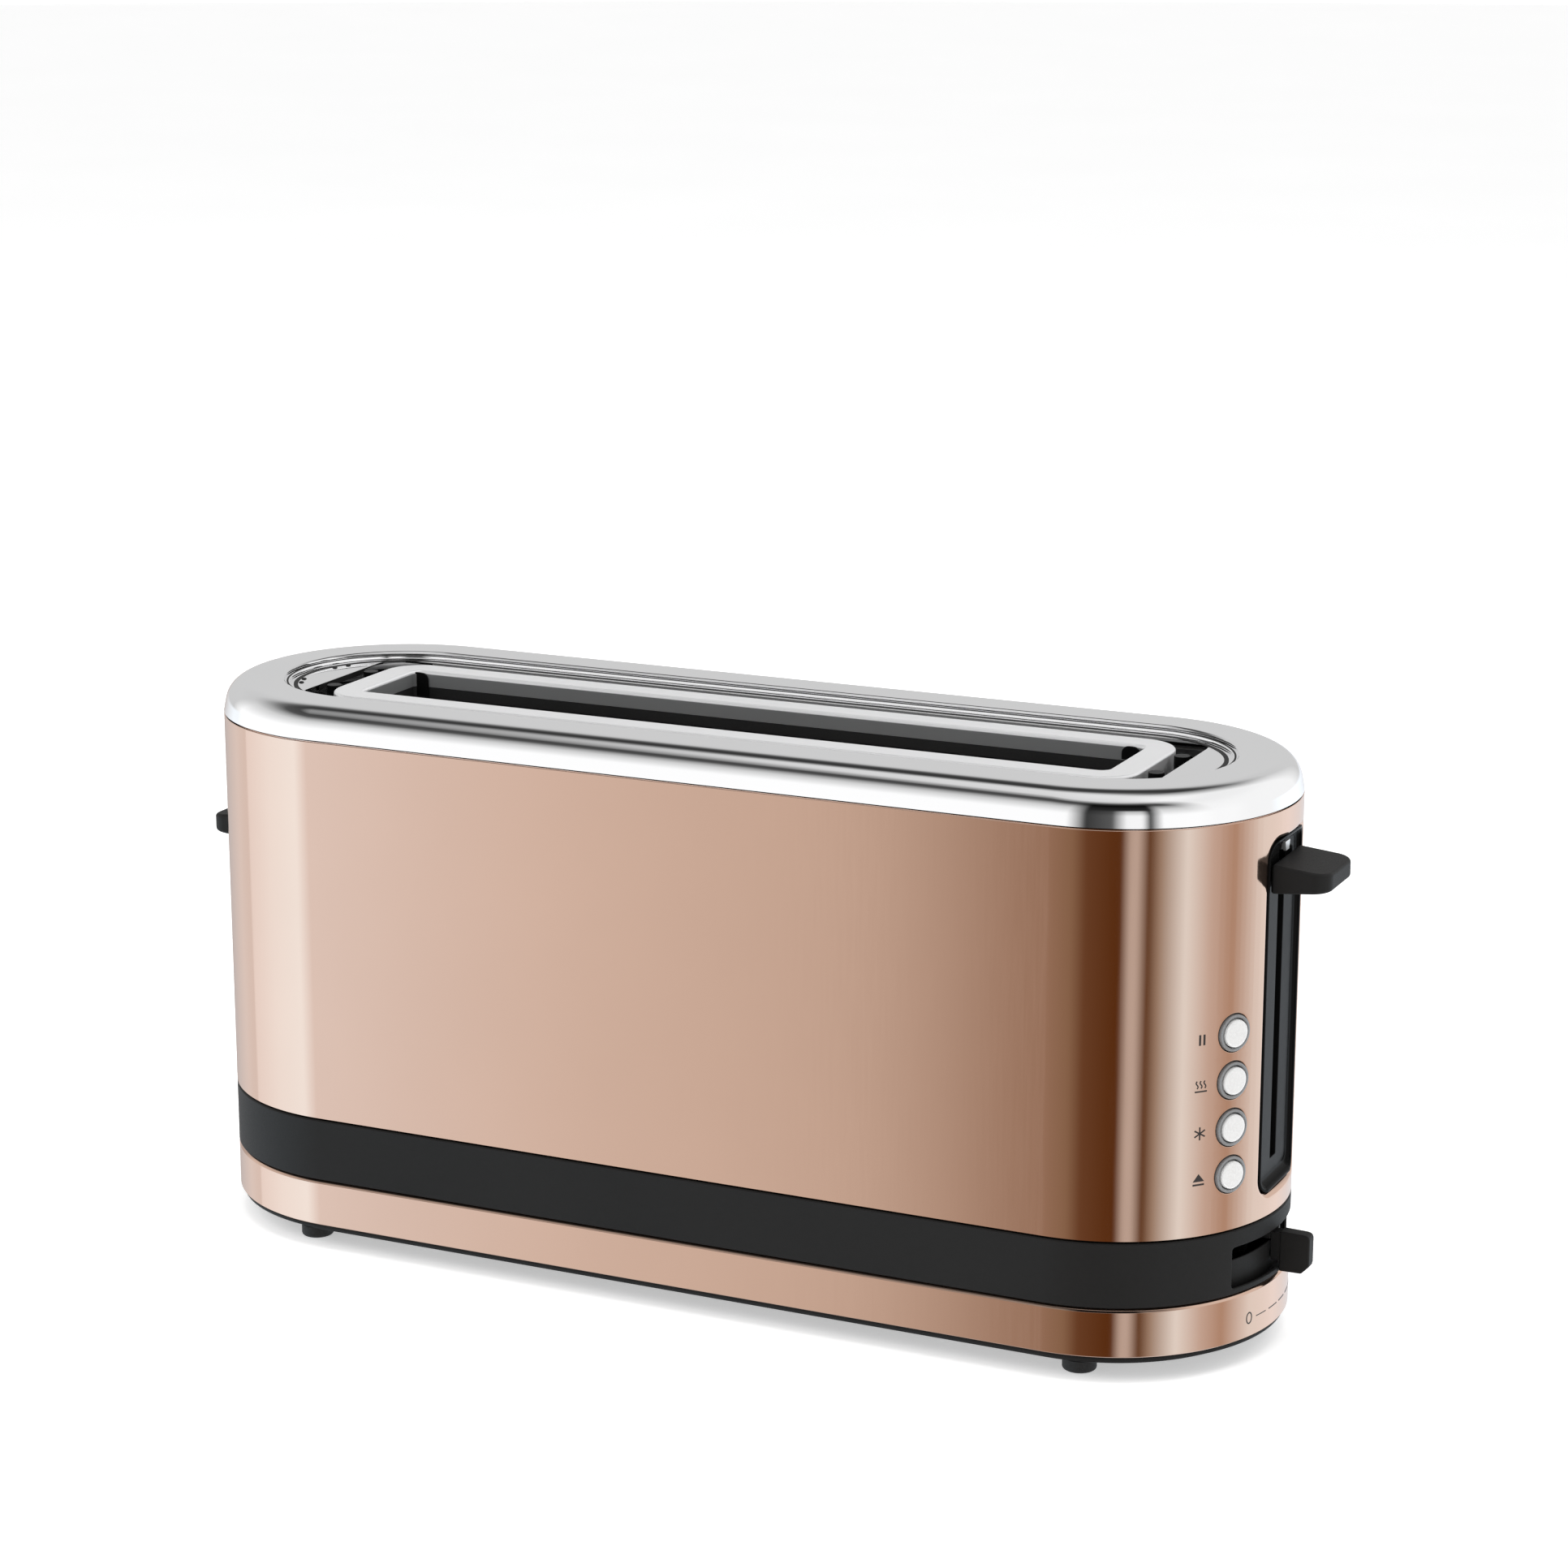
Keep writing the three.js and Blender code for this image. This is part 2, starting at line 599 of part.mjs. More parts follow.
function warmerGuide() {
  const yoke = box(137.6, POST_X + 3.6, -POST_Y - 3.6, POST_Y + 3.6, 177.4, RING_OUTER_SKIRT - GAP);
  const posts = [-POST_Y, POST_Y].map((y) => rod(POST_RADIUS, POST_X, y, POST_BOTTOM, RING_TOP - 0.5));
  return join(yoke, ...posts);
}

// A toothed strip with gaps level with the pinion's axis; facing is the side of the teeth.
function rack(backX, pitchX, z0, z1) {
  const facing = Math.sign(pitchX - backX);
  const pitch = (2 * Math.PI * PINION_RADIUS) / PINION_TEETH;
  const rootX = pitchX - 1.1 * facing;
  const pieces = [box(Math.min(backX, rootX), Math.max(backX, rootX), -3, 3, z0, z1)];
  const first = Math.ceil((z0 - PINION_Z) / pitch);
  const last = Math.floor((z1 - PINION_Z) / pitch) - 1;
  for (let i = first; i <= last; i += 1) {
    const z = PINION_Z + (i + 0.5) * pitch;
    const tooth = polygon([
      [rootX - 0.2 * facing, z - facing * 0.9],
      [pitchX + 0.7 * facing, z - facing * 0.35],
      [pitchX + 0.7 * facing, z + facing * 0.35],
      [rootX - 0.2 * facing, z + facing * 0.9],
    ]);
    pieces.push(plateY(tooth, -3, 3));
  }
  return join(...pieces);
}

function warmerGuideWithRack() {
  const tie = box(-156.5, 2 - POST_X, -POST_Y, POST_Y, POST_BOTTOM, POST_BOTTOM + 3);
  const strip = rack(-153, PINION_X + PINION_RADIUS, PINION_Z - WARMER_TRAVEL - 4, POST_BOTTOM + 3);
  return join(mirrorX(warmerGuide()), tie, strip);
}

function warmerPinion() {
  const root = PINION_RADIUS - 1.2;
  const tip = PINION_RADIUS + 0.8;
  const points = [];
  for (let i = 0; i < PINION_TEETH; i += 1) {
    const middle = (2 * Math.PI * i) / PINION_TEETH;
    const corners = [[root, -0.13], [tip, -0.05], [tip, 0.05], [root, 0.13]];
    for (const [radius, offset] of corners) {
      const angle = middle + offset;
      points.push([PINION_X + radius * Math.cos(angle), PINION_Z + radius * Math.sin(angle)]);
    }
  }
  return plateY(polygon(points), -3, 3).subtract(rodY(2.4, PINION_X, PINION_Z, -4, 4));
}

function pinionBracket() {
  const pieces = [box(-147, -145, -7, 7, PINION_Z - 5, PINION_Z + 5)];
  for (const side of [-1, 1]) {
    const [near, far] = [Math.min(side * 5.5, side * 7), Math.max(side * 5.5, side * 7)];
    pieces.push(box(-169, -137.7, near, far, PINION_Z - 5, PINION_Z + 5));
    const [inner, outer] = [Math.min(side * 6, side * 16), Math.max(side * 6, side * 16)];
    pieces.push(box(-139.2, -137.7, inner, outer, PINION_Z - 7, PINION_Z + 7));
  }
  return join(...pieces).subtract(rodY(2.4, PINION_X, PINION_Z, -10, 10));
}

function warmerLever() {
  const strip = rack(-176.8, PINION_X - PINION_RADIUS, PINION_Z - 3, WARMER_Z + 7.4);
  const arm = box(-ARM_TIP_X, -175, -1, 1, WARMER_Z - 1.9, WARMER_Z + 1.9);
  return join(strip, arm);
}

// ---- Browning control --------------------------------------------------------------------
function browningLever() {
  const shape = polygon([[END_X - 4, -4], [END_X + WALL_OUTER, -3], [END_X + WALL_OUTER, 3], [END_X - 4, 4]]);
  const hub = rod(6, END_X, 0, BROWNING_Z, BROWNING_Z + 2.5);
  const bore = rod(PIVOT_RADIUS + 0.4, END_X, 0, BROWNING_Z - 1, BROWNING_Z + 4);
  return join(slab(shape, BROWNING_Z, BROWNING_Z + 2.5), hub).subtract(bore);
}

function browningTab() {
  const stem = box(END_X + WALL_OUTER + GAP, END_X + END_RADIUS + 1, -2.4, 2.4, 28, 36.6);
  const outline = polygon([[189.9, 25], [198.4, 25.2], [200, 27.6], [200, 37.2], [199.2, 38], [189.9, 38.4]]);
  return join(stem, plateY(outline, -2.4, 2.4).subtract(rod(END_RADIUS + GAP, END_X, 0, 20, 40, 2 * END_STEPS)));
}

// ---- Button bank -------------------------------------------------------------------------
function buttonZ(index) {
  return BUTTON_TOP_Z - index * BUTTON_PITCH;
}

function bezel(index) {
  const profile = [
    [4.8, 55.3], [7.2, 55.3], [7.2, 56.6], [5.95, 56.6], [5.95, 59], [5.5, 59.5], [4.8, 59.5], [4.8, 55.3],
  ];
  return turnedRadially(profile, END_X, BUTTON_ANGLE, buttonZ(index));
}

function button(index) {
  const profile = [[0, 51.5], [2, 51.5], [2, 55.6], [4.45, 55.6], [4.45, 59.6], [3.9, 60.2], [0, 60.2]];
  return turnedRadially(profile, END_X, BUTTON_ANGLE, buttonZ(index));
}

function controlBoard() {
  const pieces = [radialBox(45, 46.6, 11, 50, 124, BUTTON_ANGLE)];
  for (let i = 0; i < BUTTON_COUNT; i += 1) {
    const z = buttonZ(i);
    pieces.push(radialBox(46.4, 48.6, 3, z - 3, z + 3, BUTTON_ANGLE));
    pieces.push(turnedRadially([[0, 48.1], [1.6, 48.1], [1.6, 49.7], [0, 49.7]], END_X, BUTTON_ANGLE, z));
  }
  return join(...pieces);
}

function boardStand() {
  const flange = box(137.7, 139.2, -27, -15.5, 52, 119);
  const arms = [58, 113].map((z) => box(139, 169.9, -22, -18, z - 2, z + 2));
  return join(flange, ...arms);
}

// ---- Crumb tray --------------------------------------------------------------------------
function crumbTray() {
  const back = BAND_INNER - 0.6;
  const body = box(-TRAY_X, TRAY_X, TRAY_FRONT, back, TRAY_BOTTOM, TRAY_TOP);
  return body.subtract(box(1 - TRAY_X, TRAY_X - 1, TRAY_FRONT + 1, back - 1, TRAY_BOTTOM + 1, TRAY_TOP + 1));
}

function trayHandle() {
  const bar = box(-TRAY_X - 0.3, TRAY_X + 0.3, BAND_INNER - 0.3, END_RADIUS, 33.9, 42.6);
  return bar.subtract(box(-26, 26, END_RADIUS - 1.6, END_RADIUS + 1, 33, 38.5));
}

// ---- Assembly ----------------------------------------------------------------------------
part('base_pan', basePan(), mattBlack);
part('lower_trim', lowerTrim(), copperSteel);
part('base_band', baseBand(), mattBlack);
part('outer_shell', outerShell(), copperSteel);
part('top_cover', topCover(), chrome);
part('lift_channel', channel(LIFT_WINDOW, 61, 165, [-12, -8, 8, 12]), glossBlack);
part('warmer_channel', mirrorX(channel(WARMER_WINDOW, 96, 140, [-9, 9])), glossBlack);
part('cable_gland', cableGland(), rubber);

for (const [side, x] of [['left', -FOOT_X], ['right', FOOT_X]]) {
  part(`foot_front_${side}`, foot(x, -FOOT_Y), rubber);
  part(`foot_back_${side}`, foot(x, FOOT_Y), rubber);
}
for (const [side, x] of [['left', -SCREW_X], ['right', SCREW_X]]) {
  part(`base_screw_front_${side}`, rod(3, x, -SCREW_Y, PAN_BOTTOM - GAP - 1.2, PAN_BOTTOM - GAP), plainSteel);
  part(`base_screw_back_${side}`, rod(3, x, SCREW_Y, PAN_BOTTOM - GAP - 1.2, PAN_BOTTOM - GAP), plainSteel);
}

part('end_plate_right', endPlate(), plainSteel);
part('end_plate_left', mirrorX(endPlate()), plainSteel);
part('top_liner', topLiner(), darkSteel);
part('guide_rod', rod(ROD_RADIUS, ROD_X, 0, 40, LINER_BOTTOM - GAP), satinSteel);
for (const [name, side] of [['front', -1], ['back', 1]]) {
  part(`reflector_${name}`, reflector(side), plainSteel);
  part(`heater_card_${name}`, heaterCard(side), mica);
  part(`heater_ribbon_${name}`, heaterRibbon(side), heatingAlloy);
  part(`grille_${name}`, grille(side), satinSteel);
}

part('bread_rack', breadRack(), satinSteel);
part('lift_bracket', liftBracket(), plainSteel);
part('lift_knob', knob(14, LIFT_Z, 4.7, 2.9, 2.7), mattBlack);
part('armature_plate', armature(), plainSteel);
part('return_spring', returnSpring(), satinSteel);
part('magnet_frame', magnetFrame(), plainSteel);
part('magnet_coil', magnetCoil(), coilCopper);

part('warmer_ring', warmerRing(), satinSteel);
part('warmer_guide_right', warmerGuide(), plainSteel);
part('warmer_guide_left', warmerGuideWithRack(), plainSteel);
part('warmer_pinion', warmerPinion(), capWhite);
part('pinion_axle', rodY(2, PINION_X, PINION_Z, -9, 9), satinSteel);
part('pinion_bracket', pinionBracket(), plainSteel);
part('warmer_lever', warmerLever(), plainSteel);
part('warmer_knob', mirrorX(knob(11, WARMER_Z, 4.2, 2.9, 2.2)), mattBlack);

part('browning_lever', browningLever(), mattBlack);
part('browning_tab', browningTab(), mattBlack);
part('control_board', controlBoard(), boardGreen);
part('board_stand', boardStand(), plainSteel);
for (let i = 0; i < BUTTON_COUNT; i += 1) {
  part(`button_bezel_${i + 1}`, bezel(i), bezelGrey);
  part(`button_${i + 1}`, button(i), capWhite);
}

part('crumb_tray', crumbTray(), plainSteel);
part('tray_handle', trayHandle(), mattBlack);

export default group;
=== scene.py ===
"""Looks for a long-slot pop-up toaster with copper-coloured steel sides and a chrome top."""

import json
import math

import bmesh
import bpy
import numpy as np
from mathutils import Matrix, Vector

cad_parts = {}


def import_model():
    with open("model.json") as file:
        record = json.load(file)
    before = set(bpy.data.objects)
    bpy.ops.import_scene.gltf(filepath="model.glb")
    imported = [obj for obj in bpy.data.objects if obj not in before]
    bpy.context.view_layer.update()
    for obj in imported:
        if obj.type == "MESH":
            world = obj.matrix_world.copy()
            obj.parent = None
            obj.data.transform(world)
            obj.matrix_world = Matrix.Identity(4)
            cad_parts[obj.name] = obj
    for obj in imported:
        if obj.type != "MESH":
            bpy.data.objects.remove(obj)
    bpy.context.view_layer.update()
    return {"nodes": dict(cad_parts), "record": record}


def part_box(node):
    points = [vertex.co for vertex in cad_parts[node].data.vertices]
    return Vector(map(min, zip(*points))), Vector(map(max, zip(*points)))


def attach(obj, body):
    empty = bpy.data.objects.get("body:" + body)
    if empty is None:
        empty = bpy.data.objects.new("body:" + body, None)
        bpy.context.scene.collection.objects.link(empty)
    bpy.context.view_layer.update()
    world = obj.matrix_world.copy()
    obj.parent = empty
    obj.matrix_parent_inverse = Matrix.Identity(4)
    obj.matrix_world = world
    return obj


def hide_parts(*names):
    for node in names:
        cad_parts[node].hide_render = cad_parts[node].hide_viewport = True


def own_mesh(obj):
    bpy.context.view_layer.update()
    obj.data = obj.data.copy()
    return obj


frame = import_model()
MM = 0.001
RECORD = frame["record"]
BODY_OF = {n: b for b, nodes in RECORD["behaviour"]["bodies"].items() for n in nodes}
SLOT_OF = {s["node"]: s["material_slot"] for s in RECORD["subparts"]}


def mm_box(node):
    low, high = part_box(node)
    return np.array(low) / MM, np.array(high) / MM


# ---- Sizes taken from the frame, in millimetres ----------------------------------------
SHELL = mm_box("outer_shell")
COVER = mm_box("top_cover")
BAND = mm_box("base_band")
TRIM = mm_box("lower_trim")
PAN = mm_box("base_pan")
RING = mm_box("warmer_ring")
LIFT_CHANNEL = mm_box("lift_channel")
WARMER_CHANNEL = mm_box("warmer_channel")
R = SHELL[1][1]
CX = SHELL[1][0] - R
TOP = COVER[1][2]
ARC = math.pi * R
TOTAL = 2 * ARC + 4 * CX         # the distance round the body, from the right end
BACK_MIDDLE = ARC / 2 + CX
QUARTER_STEPS = 44
RECESS = 38.1                    # radius of the top's recess, at its ends
RECESS_STEP = 1.3
RECESS_FLOOR = TOP - 2 * RECESS_STEP
OPENING = (152.8, 31.6)          # half sizes of the hole in the recess
OPENING_CORNER = 9
RING_CORNER, RING_STRIP = 13.0, 10.0
CHANNEL_FLOOR = mm_box("lift_knob")[0][0] - 0.9
CHANNEL_SLOT = 2.7               # half width of the slot that a lever runs in
CORNERS = ("front_left", "front_right", "back_left", "back_right")
SHARP_ANGLE = math.radians(38)   # edges sharper than this stay sharp when shaded


# ---- Meshes ------------------------------------------------------------------------------
def clean(mesh):
    grown = bmesh.new()
    grown.from_mesh(mesh)
    bmesh.ops.remove_doubles(grown, verts=grown.verts, dist=1e-6)
    bmesh.ops.dissolve_degenerate(grown, edges=grown.edges, dist=1e-7)
    bmesh.ops.recalc_face_normals(grown, faces=grown.faces)
    grown.to_mesh(mesh)
    grown.free()


def placed(name, data):
    """A new object in the scene."""
    obj = bpy.data.objects.new(name, data)
    bpy.context.collection.objects.link(obj)
    return obj


def bake_modifiers(obj):
    depsgraph = bpy.context.evaluated_depsgraph_get()
    mesh = bpy.data.meshes.new_from_object(obj.evaluated_get(depsgraph))
    obj.modifiers.clear()
    obj.data = mesh
    return obj


def refine(obj, bevel, segments=3, angle=30):
    """Rounds the sharp edges and keeps the flats flat."""
    if bevel:
        edge = obj.modifiers.new("bevel", "BEVEL")
        edge.width = bevel * MM
        edge.segments = segments
        edge.limit_method = "ANGLE"
        edge.angle_limit = math.radians(angle)
        edge.use_clamp_overlap = True
    bake_modifiers(obj)
    obj.data.shade_smooth()
    obj.data.set_sharp_from_angle(angle=SHARP_ANGLE)
    weighted = obj.modifiers.new("weighted", "WEIGHTED_NORMAL")
    weighted.keep_sharp = True
    return bake_modifiers(obj)


def dress(obj, *nodes, slot=None, body=None):
    """Gives a piece its material, the body that it rides on and the nodes it stands for."""
    slot = slot or SLOT_OF[nodes[0]]
    obj.data.materials.clear()
    obj.data.materials.append(LOOKS[slot])
    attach(obj, body or BODY_OF[nodes[0]])
    if nodes:
        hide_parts(*nodes)
    return obj


def solid(name, points, faces, bevel=0, segments=3, angle=30):
    mesh = bpy.data.meshes.new(name)
    mesh.from_pydata([tuple(p) for p in np.asarray(points, float) * MM], [], faces)
    clean(mesh)
    return refine(placed(name, mesh), bevel, segments, angle)


def joined(name, objects):
    """Several refined meshes as one piece."""
    merged = bmesh.new()
    for obj in objects:
        merged.from_mesh(obj.data)
        bpy.data.objects.remove(obj)
    mesh = bpy.data.meshes.new(name)
    merged.to_mesh(mesh)
    merged.free()
    mesh.shade_smooth()
    mesh.set_sharp_from_angle(angle=SHARP_ANGLE)
    return placed(name, mesh)


def loft(rings, closed=True):
    """Faces between rings of equal length. A closed loft joins the last ring to the first."""
    count = len(rings[0])
    faces = []
    for i in range(len(rings) if closed else len(rings) - 1):
        j = (i + 1) % len(rings)
        for k in range(count):
            n = (k + 1) % count
            faces.append((i * count + k, i * count + n, j * count + n, j * count + k))
    if not closed:
        faces.append(tuple(range(count)))
        faces.append(tuple(range((len(rings) - 1) * count, len(rings) * count)))
    return np.concatenate(rings), faces


def prism(outline, low, high, axis=2):
    """A flat outline, pushed from low to high along an axis."""
    flat = np.asarray(outline, float)
    rings = [np.insert(flat, axis, level, axis=1) for level in (low, high)]
    return loft(rings, closed=False)


def block(low, high):
    (x0, y0, z0), (x1, y1, z1) = low, high
    return prism([(x0, y0), (x1, y0), (x1, y1), (x0, y1)], z0, z1)


def rounded(half_x, half_y, corner, middle=(0, 0), steps=10):
    """Points of a rounded rectangle, anticlockwise."""
    points = []
    for quarter, (sx, sy) in enumerate(((1, 1), (-1, 1), (-1, -1), (1, -1))):
        for step in range(steps + 1):
            angle = (quarter + step / steps) * math.pi / 2
            points.append((middle[0] + sx * (half_x - corner) + corner * math.cos(angle),
                           middle[1] + sy * (half_y - corner) + corner * math.sin(angle)))
    return np.array(points)


def facing(point, core, corner):
    """The point of a rounded rectangle's edge that faces another point."""
    near = np.clip(point, -core, core)
    away = np.array(point) - near
    return near + corner * away / np.linalg.norm(away)


def arc(centre, radius, start, end, steps):
    """Points of an arc, angles in degrees."""
    angles = np.radians(np.linspace(start, end, steps + 1))
    return [(centre[0] + radius * math.cos(a), centre[1] + radius * math.sin(a)) for a in angles]


def lathe(profile, centre, axis, steps=64):
    """A profile of (radius, along) turned about an axis through centre."""
    axis = Vector(axis).normalized()
    side = axis.orthogonal().normalized()
    other = axis.cross(side)
    angles = np.linspace(0, 2 * math.pi, steps, endpoint=False)
    spokes = [math.cos(a) * np.array(side) + math.sin(a) * np.array(other) for a in angles]
    return [np.array(centre) + along * np.array(axis) + radius * np.array(spokes)
            for radius, along in profile]


def turned(name, profile, centre, axis=(0, 0, 1), steps=48, closed=False):
    """A solid turned on a lathe. A closed one joins the two ends of its profile."""
    return solid(name, *loft(lathe(profile, centre, axis, steps), closed))


# ---- The body's outline ------------------------------------------------------------------
def around(u, depth=0.0, radius=None):
    """The point a distance u round the body, from the middle of the right end."""
    reach = (R if radius is None else radius) - depth
    u = u % TOTAL
    spans = ((ARC / 2, CX, 0), (2 * CX, None, 1), (ARC, -CX, math.pi / 2), (2 * CX, None, -1))
    for length, centre, turn in spans:
        if u <= length:
            if centre is None:
                return (turn * (CX - u), turn * reach)
            angle = turn + u / R
            return (centre + reach * math.cos(angle), reach * math.sin(angle))
        u -= length
    angle = u / R - math.pi / 2
    return (CX + reach * math.cos(angle), reach * math.sin(angle))


def perimeter_lines():
    """Distances round the body where its outline is sampled."""
    lines = []
    start = 0.0
    for length, steps in ((ARC / 2, QUARTER_STEPS), (2 * CX, 8), (ARC, 2 * QUARTER_STEPS),
                          (2 * CX, 8), (ARC / 2, QUARTER_STEPS)):
        lines += list(start + np.linspace(0, length, steps, endpoint=False))
        start += length
    return lines


LINES = perimeter_lines()


def body_ring(radius, z):
    return np.array([(*around(u, radius=radius), z) for u in LINES])


def sweep(profile):
    """A closed profile of (radius, z) carried round the body's outline."""
    return loft([body_ring(radius, z) for radius, z in profile])


# ---- A skin round the body, with windows -------------------------------------------------
class Window:
    """An opening in the skin: centre and half sizes, and the radius of its rolled edge."""

    def __init__(self, middle, half, corner, roll, margin, samples):
        self.u, self.z = middle
        self.half = half
        self.corner = corner
        self.roll = roll
        self.reach = (half[0] + margin, half[1] + margin)
        self.samples = samples

    def lines(self, axis):
        """Grid lines that this window asks for along one axis."""
        middle = (self.u, self.z)[axis]
        half, reach = self.half[axis], self.reach[axis]
        inner = half - self.corner
        near = list(np.linspace(inner, reach, self.samples))
        found = near + [-v for v in near]
        if inner > 30:
            found += list(np.linspace(-inner, inner, 9))[1:-1]
        elif inner > 1:
            found += list(np.linspace(-inner, inner, 5))[1:-1]
        return [middle + v for v in found]

    def offset(self, u):
        """How far u is round the body from the window's middle, the shorter way."""
        return (u - self.u + TOTAL / 2) % TOTAL - TOTAL / 2

    def holds(self, u, z):
        inside_u = abs(self.offset(u)) < self.reach[0] - 1e-6
        return inside_u and abs(z - self.z) < self.reach[1] - 1e-6

    def contour(self, point, distance):
        """The point of the opening's edge, moved out by a distance, that faces a grid point."""
        off = (self.offset(point[0]), point[1] - self.z)
        edge = facing(off, np.array(self.half) - self.corner, self.corner + distance)
        return edge[0] + self.u, edge[1] + self.z


def merged_lines(values, least=0.12):
    kept = []
    for value in sorted(values):
        if not kept or value - kept[-1] > least:
            kept.append(value)
    return kept


def window_rim(window, walk, radius):
    """Rings from the grid round a window, over its rolled edge and back inside."""
    roll = window.roll
    rings = []
    for share in (0.35, 0.7):
        ring = []
        for u, z in walk:
            edge_u, edge_z = window.contour((u, z), roll)
            start = window.u + window.offset(u)
            at = around(start + (edge_u - start) * share, 0, radius)
            ring.append((*at, z + (edge_z - z) * share))
        rings.append(ring)
    turns = [(roll * (1 - math.sin(a)), roll * (1 - math.cos(a)))
             for a in np.radians(np.linspace(0, 90, 9))]
    turns += [(0, roll + 0.4), (0.8, roll + 0.4)]
    for distance, depth in turns:
        edges = [window.contour(point, distance) for point in walk]
        rings.append([(*around(u, depth, radius), z) for u, z in edges])
    return rings


def between(ring_a, ring_b):
    count = len(ring_a)
    return [(ring_a[k], ring_a[(k + 1) % count], ring_b[(k + 1) % count], ring_b[k])
            for k in range(count)]


class SkinGrid:
    """A wall round the body: quads in an outer and an inner layer, less its windows."""

    def __init__(self, radius, wall, u_lines, z_lines, depth_at, windows):
        self.radius, self.wall = radius, wall
        self.u_lines, self.z_lines = u_lines, z_lines
        self.depth_at, self.windows = depth_at, windows
        self.points, self.faces, self.index = [], [], {}

    def vertex(self, i, j, layer):
        key = (i % len(self.u_lines), j, layer)
        if key not in self.index:
            z = self.z_lines[j]
            depth = self.wall if layer else self.depth_at.get(round(z, 4), 0.0)
            self.index[key] = len(self.points)
            self.points.append((*around(self.u_lines[key[0]], depth, self.radius), z))
        return self.index[key]

    def window_at(self, i, j):
        here, after = self.u_lines[i], self.u_lines[(i + 1) % len(self.u_lines)]
        u = (here + (after - here) % TOTAL / 2) % TOTAL
        z = (self.z_lines[j] + self.z_lines[j + 1]) / 2
        return next((window for window in self.windows if window.holds(u, z)), None)

    def add_layers(self):
        """Adds the quads of both layers. Returns the edges that bound each window."""
        edges = {window: {} for window in self.windows}
        for i in range(len(self.u_lines)):
            for j in range(len(self.z_lines) - 1):
                corners = [(i, j), (i + 1, j), (i + 1, j + 1), (i, j + 1)]
                window = self.window_at(i, j)
                if window is None:
                    self.faces.append([self.vertex(*c, 0) for c in corners])
                    self.faces.append([self.vertex(*c, 1) for c in reversed(corners)])
                else:
                    self.bound(edges[window], corners)
        return edges

    def bound(self, edges, corners):
        """Adds a cell's edges to a window's outline, or drops those it shares."""
        count = len(self.u_lines)
        ends = [(i % count, j) for i, j in corners]
        for a, b in zip(ends, ends[1:] + ends[:1]):
            if (b, a) in edges:
                del edges[b, a]
            else:
                edges[a, b] = True

    def add_rims(self):
        """Joins the layers along the lowest and the highest line."""
        for i in range(len(self.u_lines)):
            for j, flip in ((0, False), (len(self.z_lines) - 1, True)):
                quad = [self.vertex(i, j, 0), self.vertex(i, j, 1),
                        self.vertex(i + 1, j, 1), self.vertex(i + 1, j, 0)]
                self.faces.append(quad[::-1] if flip else quad)

    def add_window(self, window, edges):
        follow = dict(edges.keys())
        walk = [next(iter(follow))]
        while follow[walk[-1]] != walk[0]:
            walk.append(follow[walk[-1]])
        previous = [self.vertex(*c, 0) for c in walk]
        inner = [self.vertex(*c, 1) for c in walk]
        places = [(self.u_lines[i], self.z_lines[j]) for i, j in walk]
        for ring in window_rim(window, places, self.radius):
            current = list(range(len(self.points), len(self.points) + len(ring)))
            self.points.extend(ring)
            self.faces += between(previous, current)
            previous = current
        self.faces += between(previous, inner)


def skin(name, radius, z0, z1, wall, windows, ease=0.35, top_ease=None):
    """The skin of the body between two heights, its edges eased, with rolled windows."""
    top_ease = top_ease or [(ease, 0.0), (0.0, ease)]
    depth_at = {round(z0, 4): ease}
    depth_at.update({round(z1 - drop, 4): depth for drop, depth in top_ease})
    z_lines = [z0, z0 + ease, *[z1 - drop for drop, _ in top_ease]]
    z_lines += list(np.linspace(z0 + ease, z1 - max(drop for drop, _ in top_ease), 6))
    u_lines = list(LINES)
    for window in windows:
        z_lines += window.lines(1)
        u_lines += [u % TOTAL for u in window.lines(0)]
    grid = SkinGrid(radius, wall, merged_lines(u_lines), merged_lines(z_lines, 0.03), depth_at, windows)
    edges = grid.add_layers()
    grid.add_rims()
    for window, outline in edges.items():
        grid.add_window(window, outline)
    return solid(name, grid.points, grid.faces)


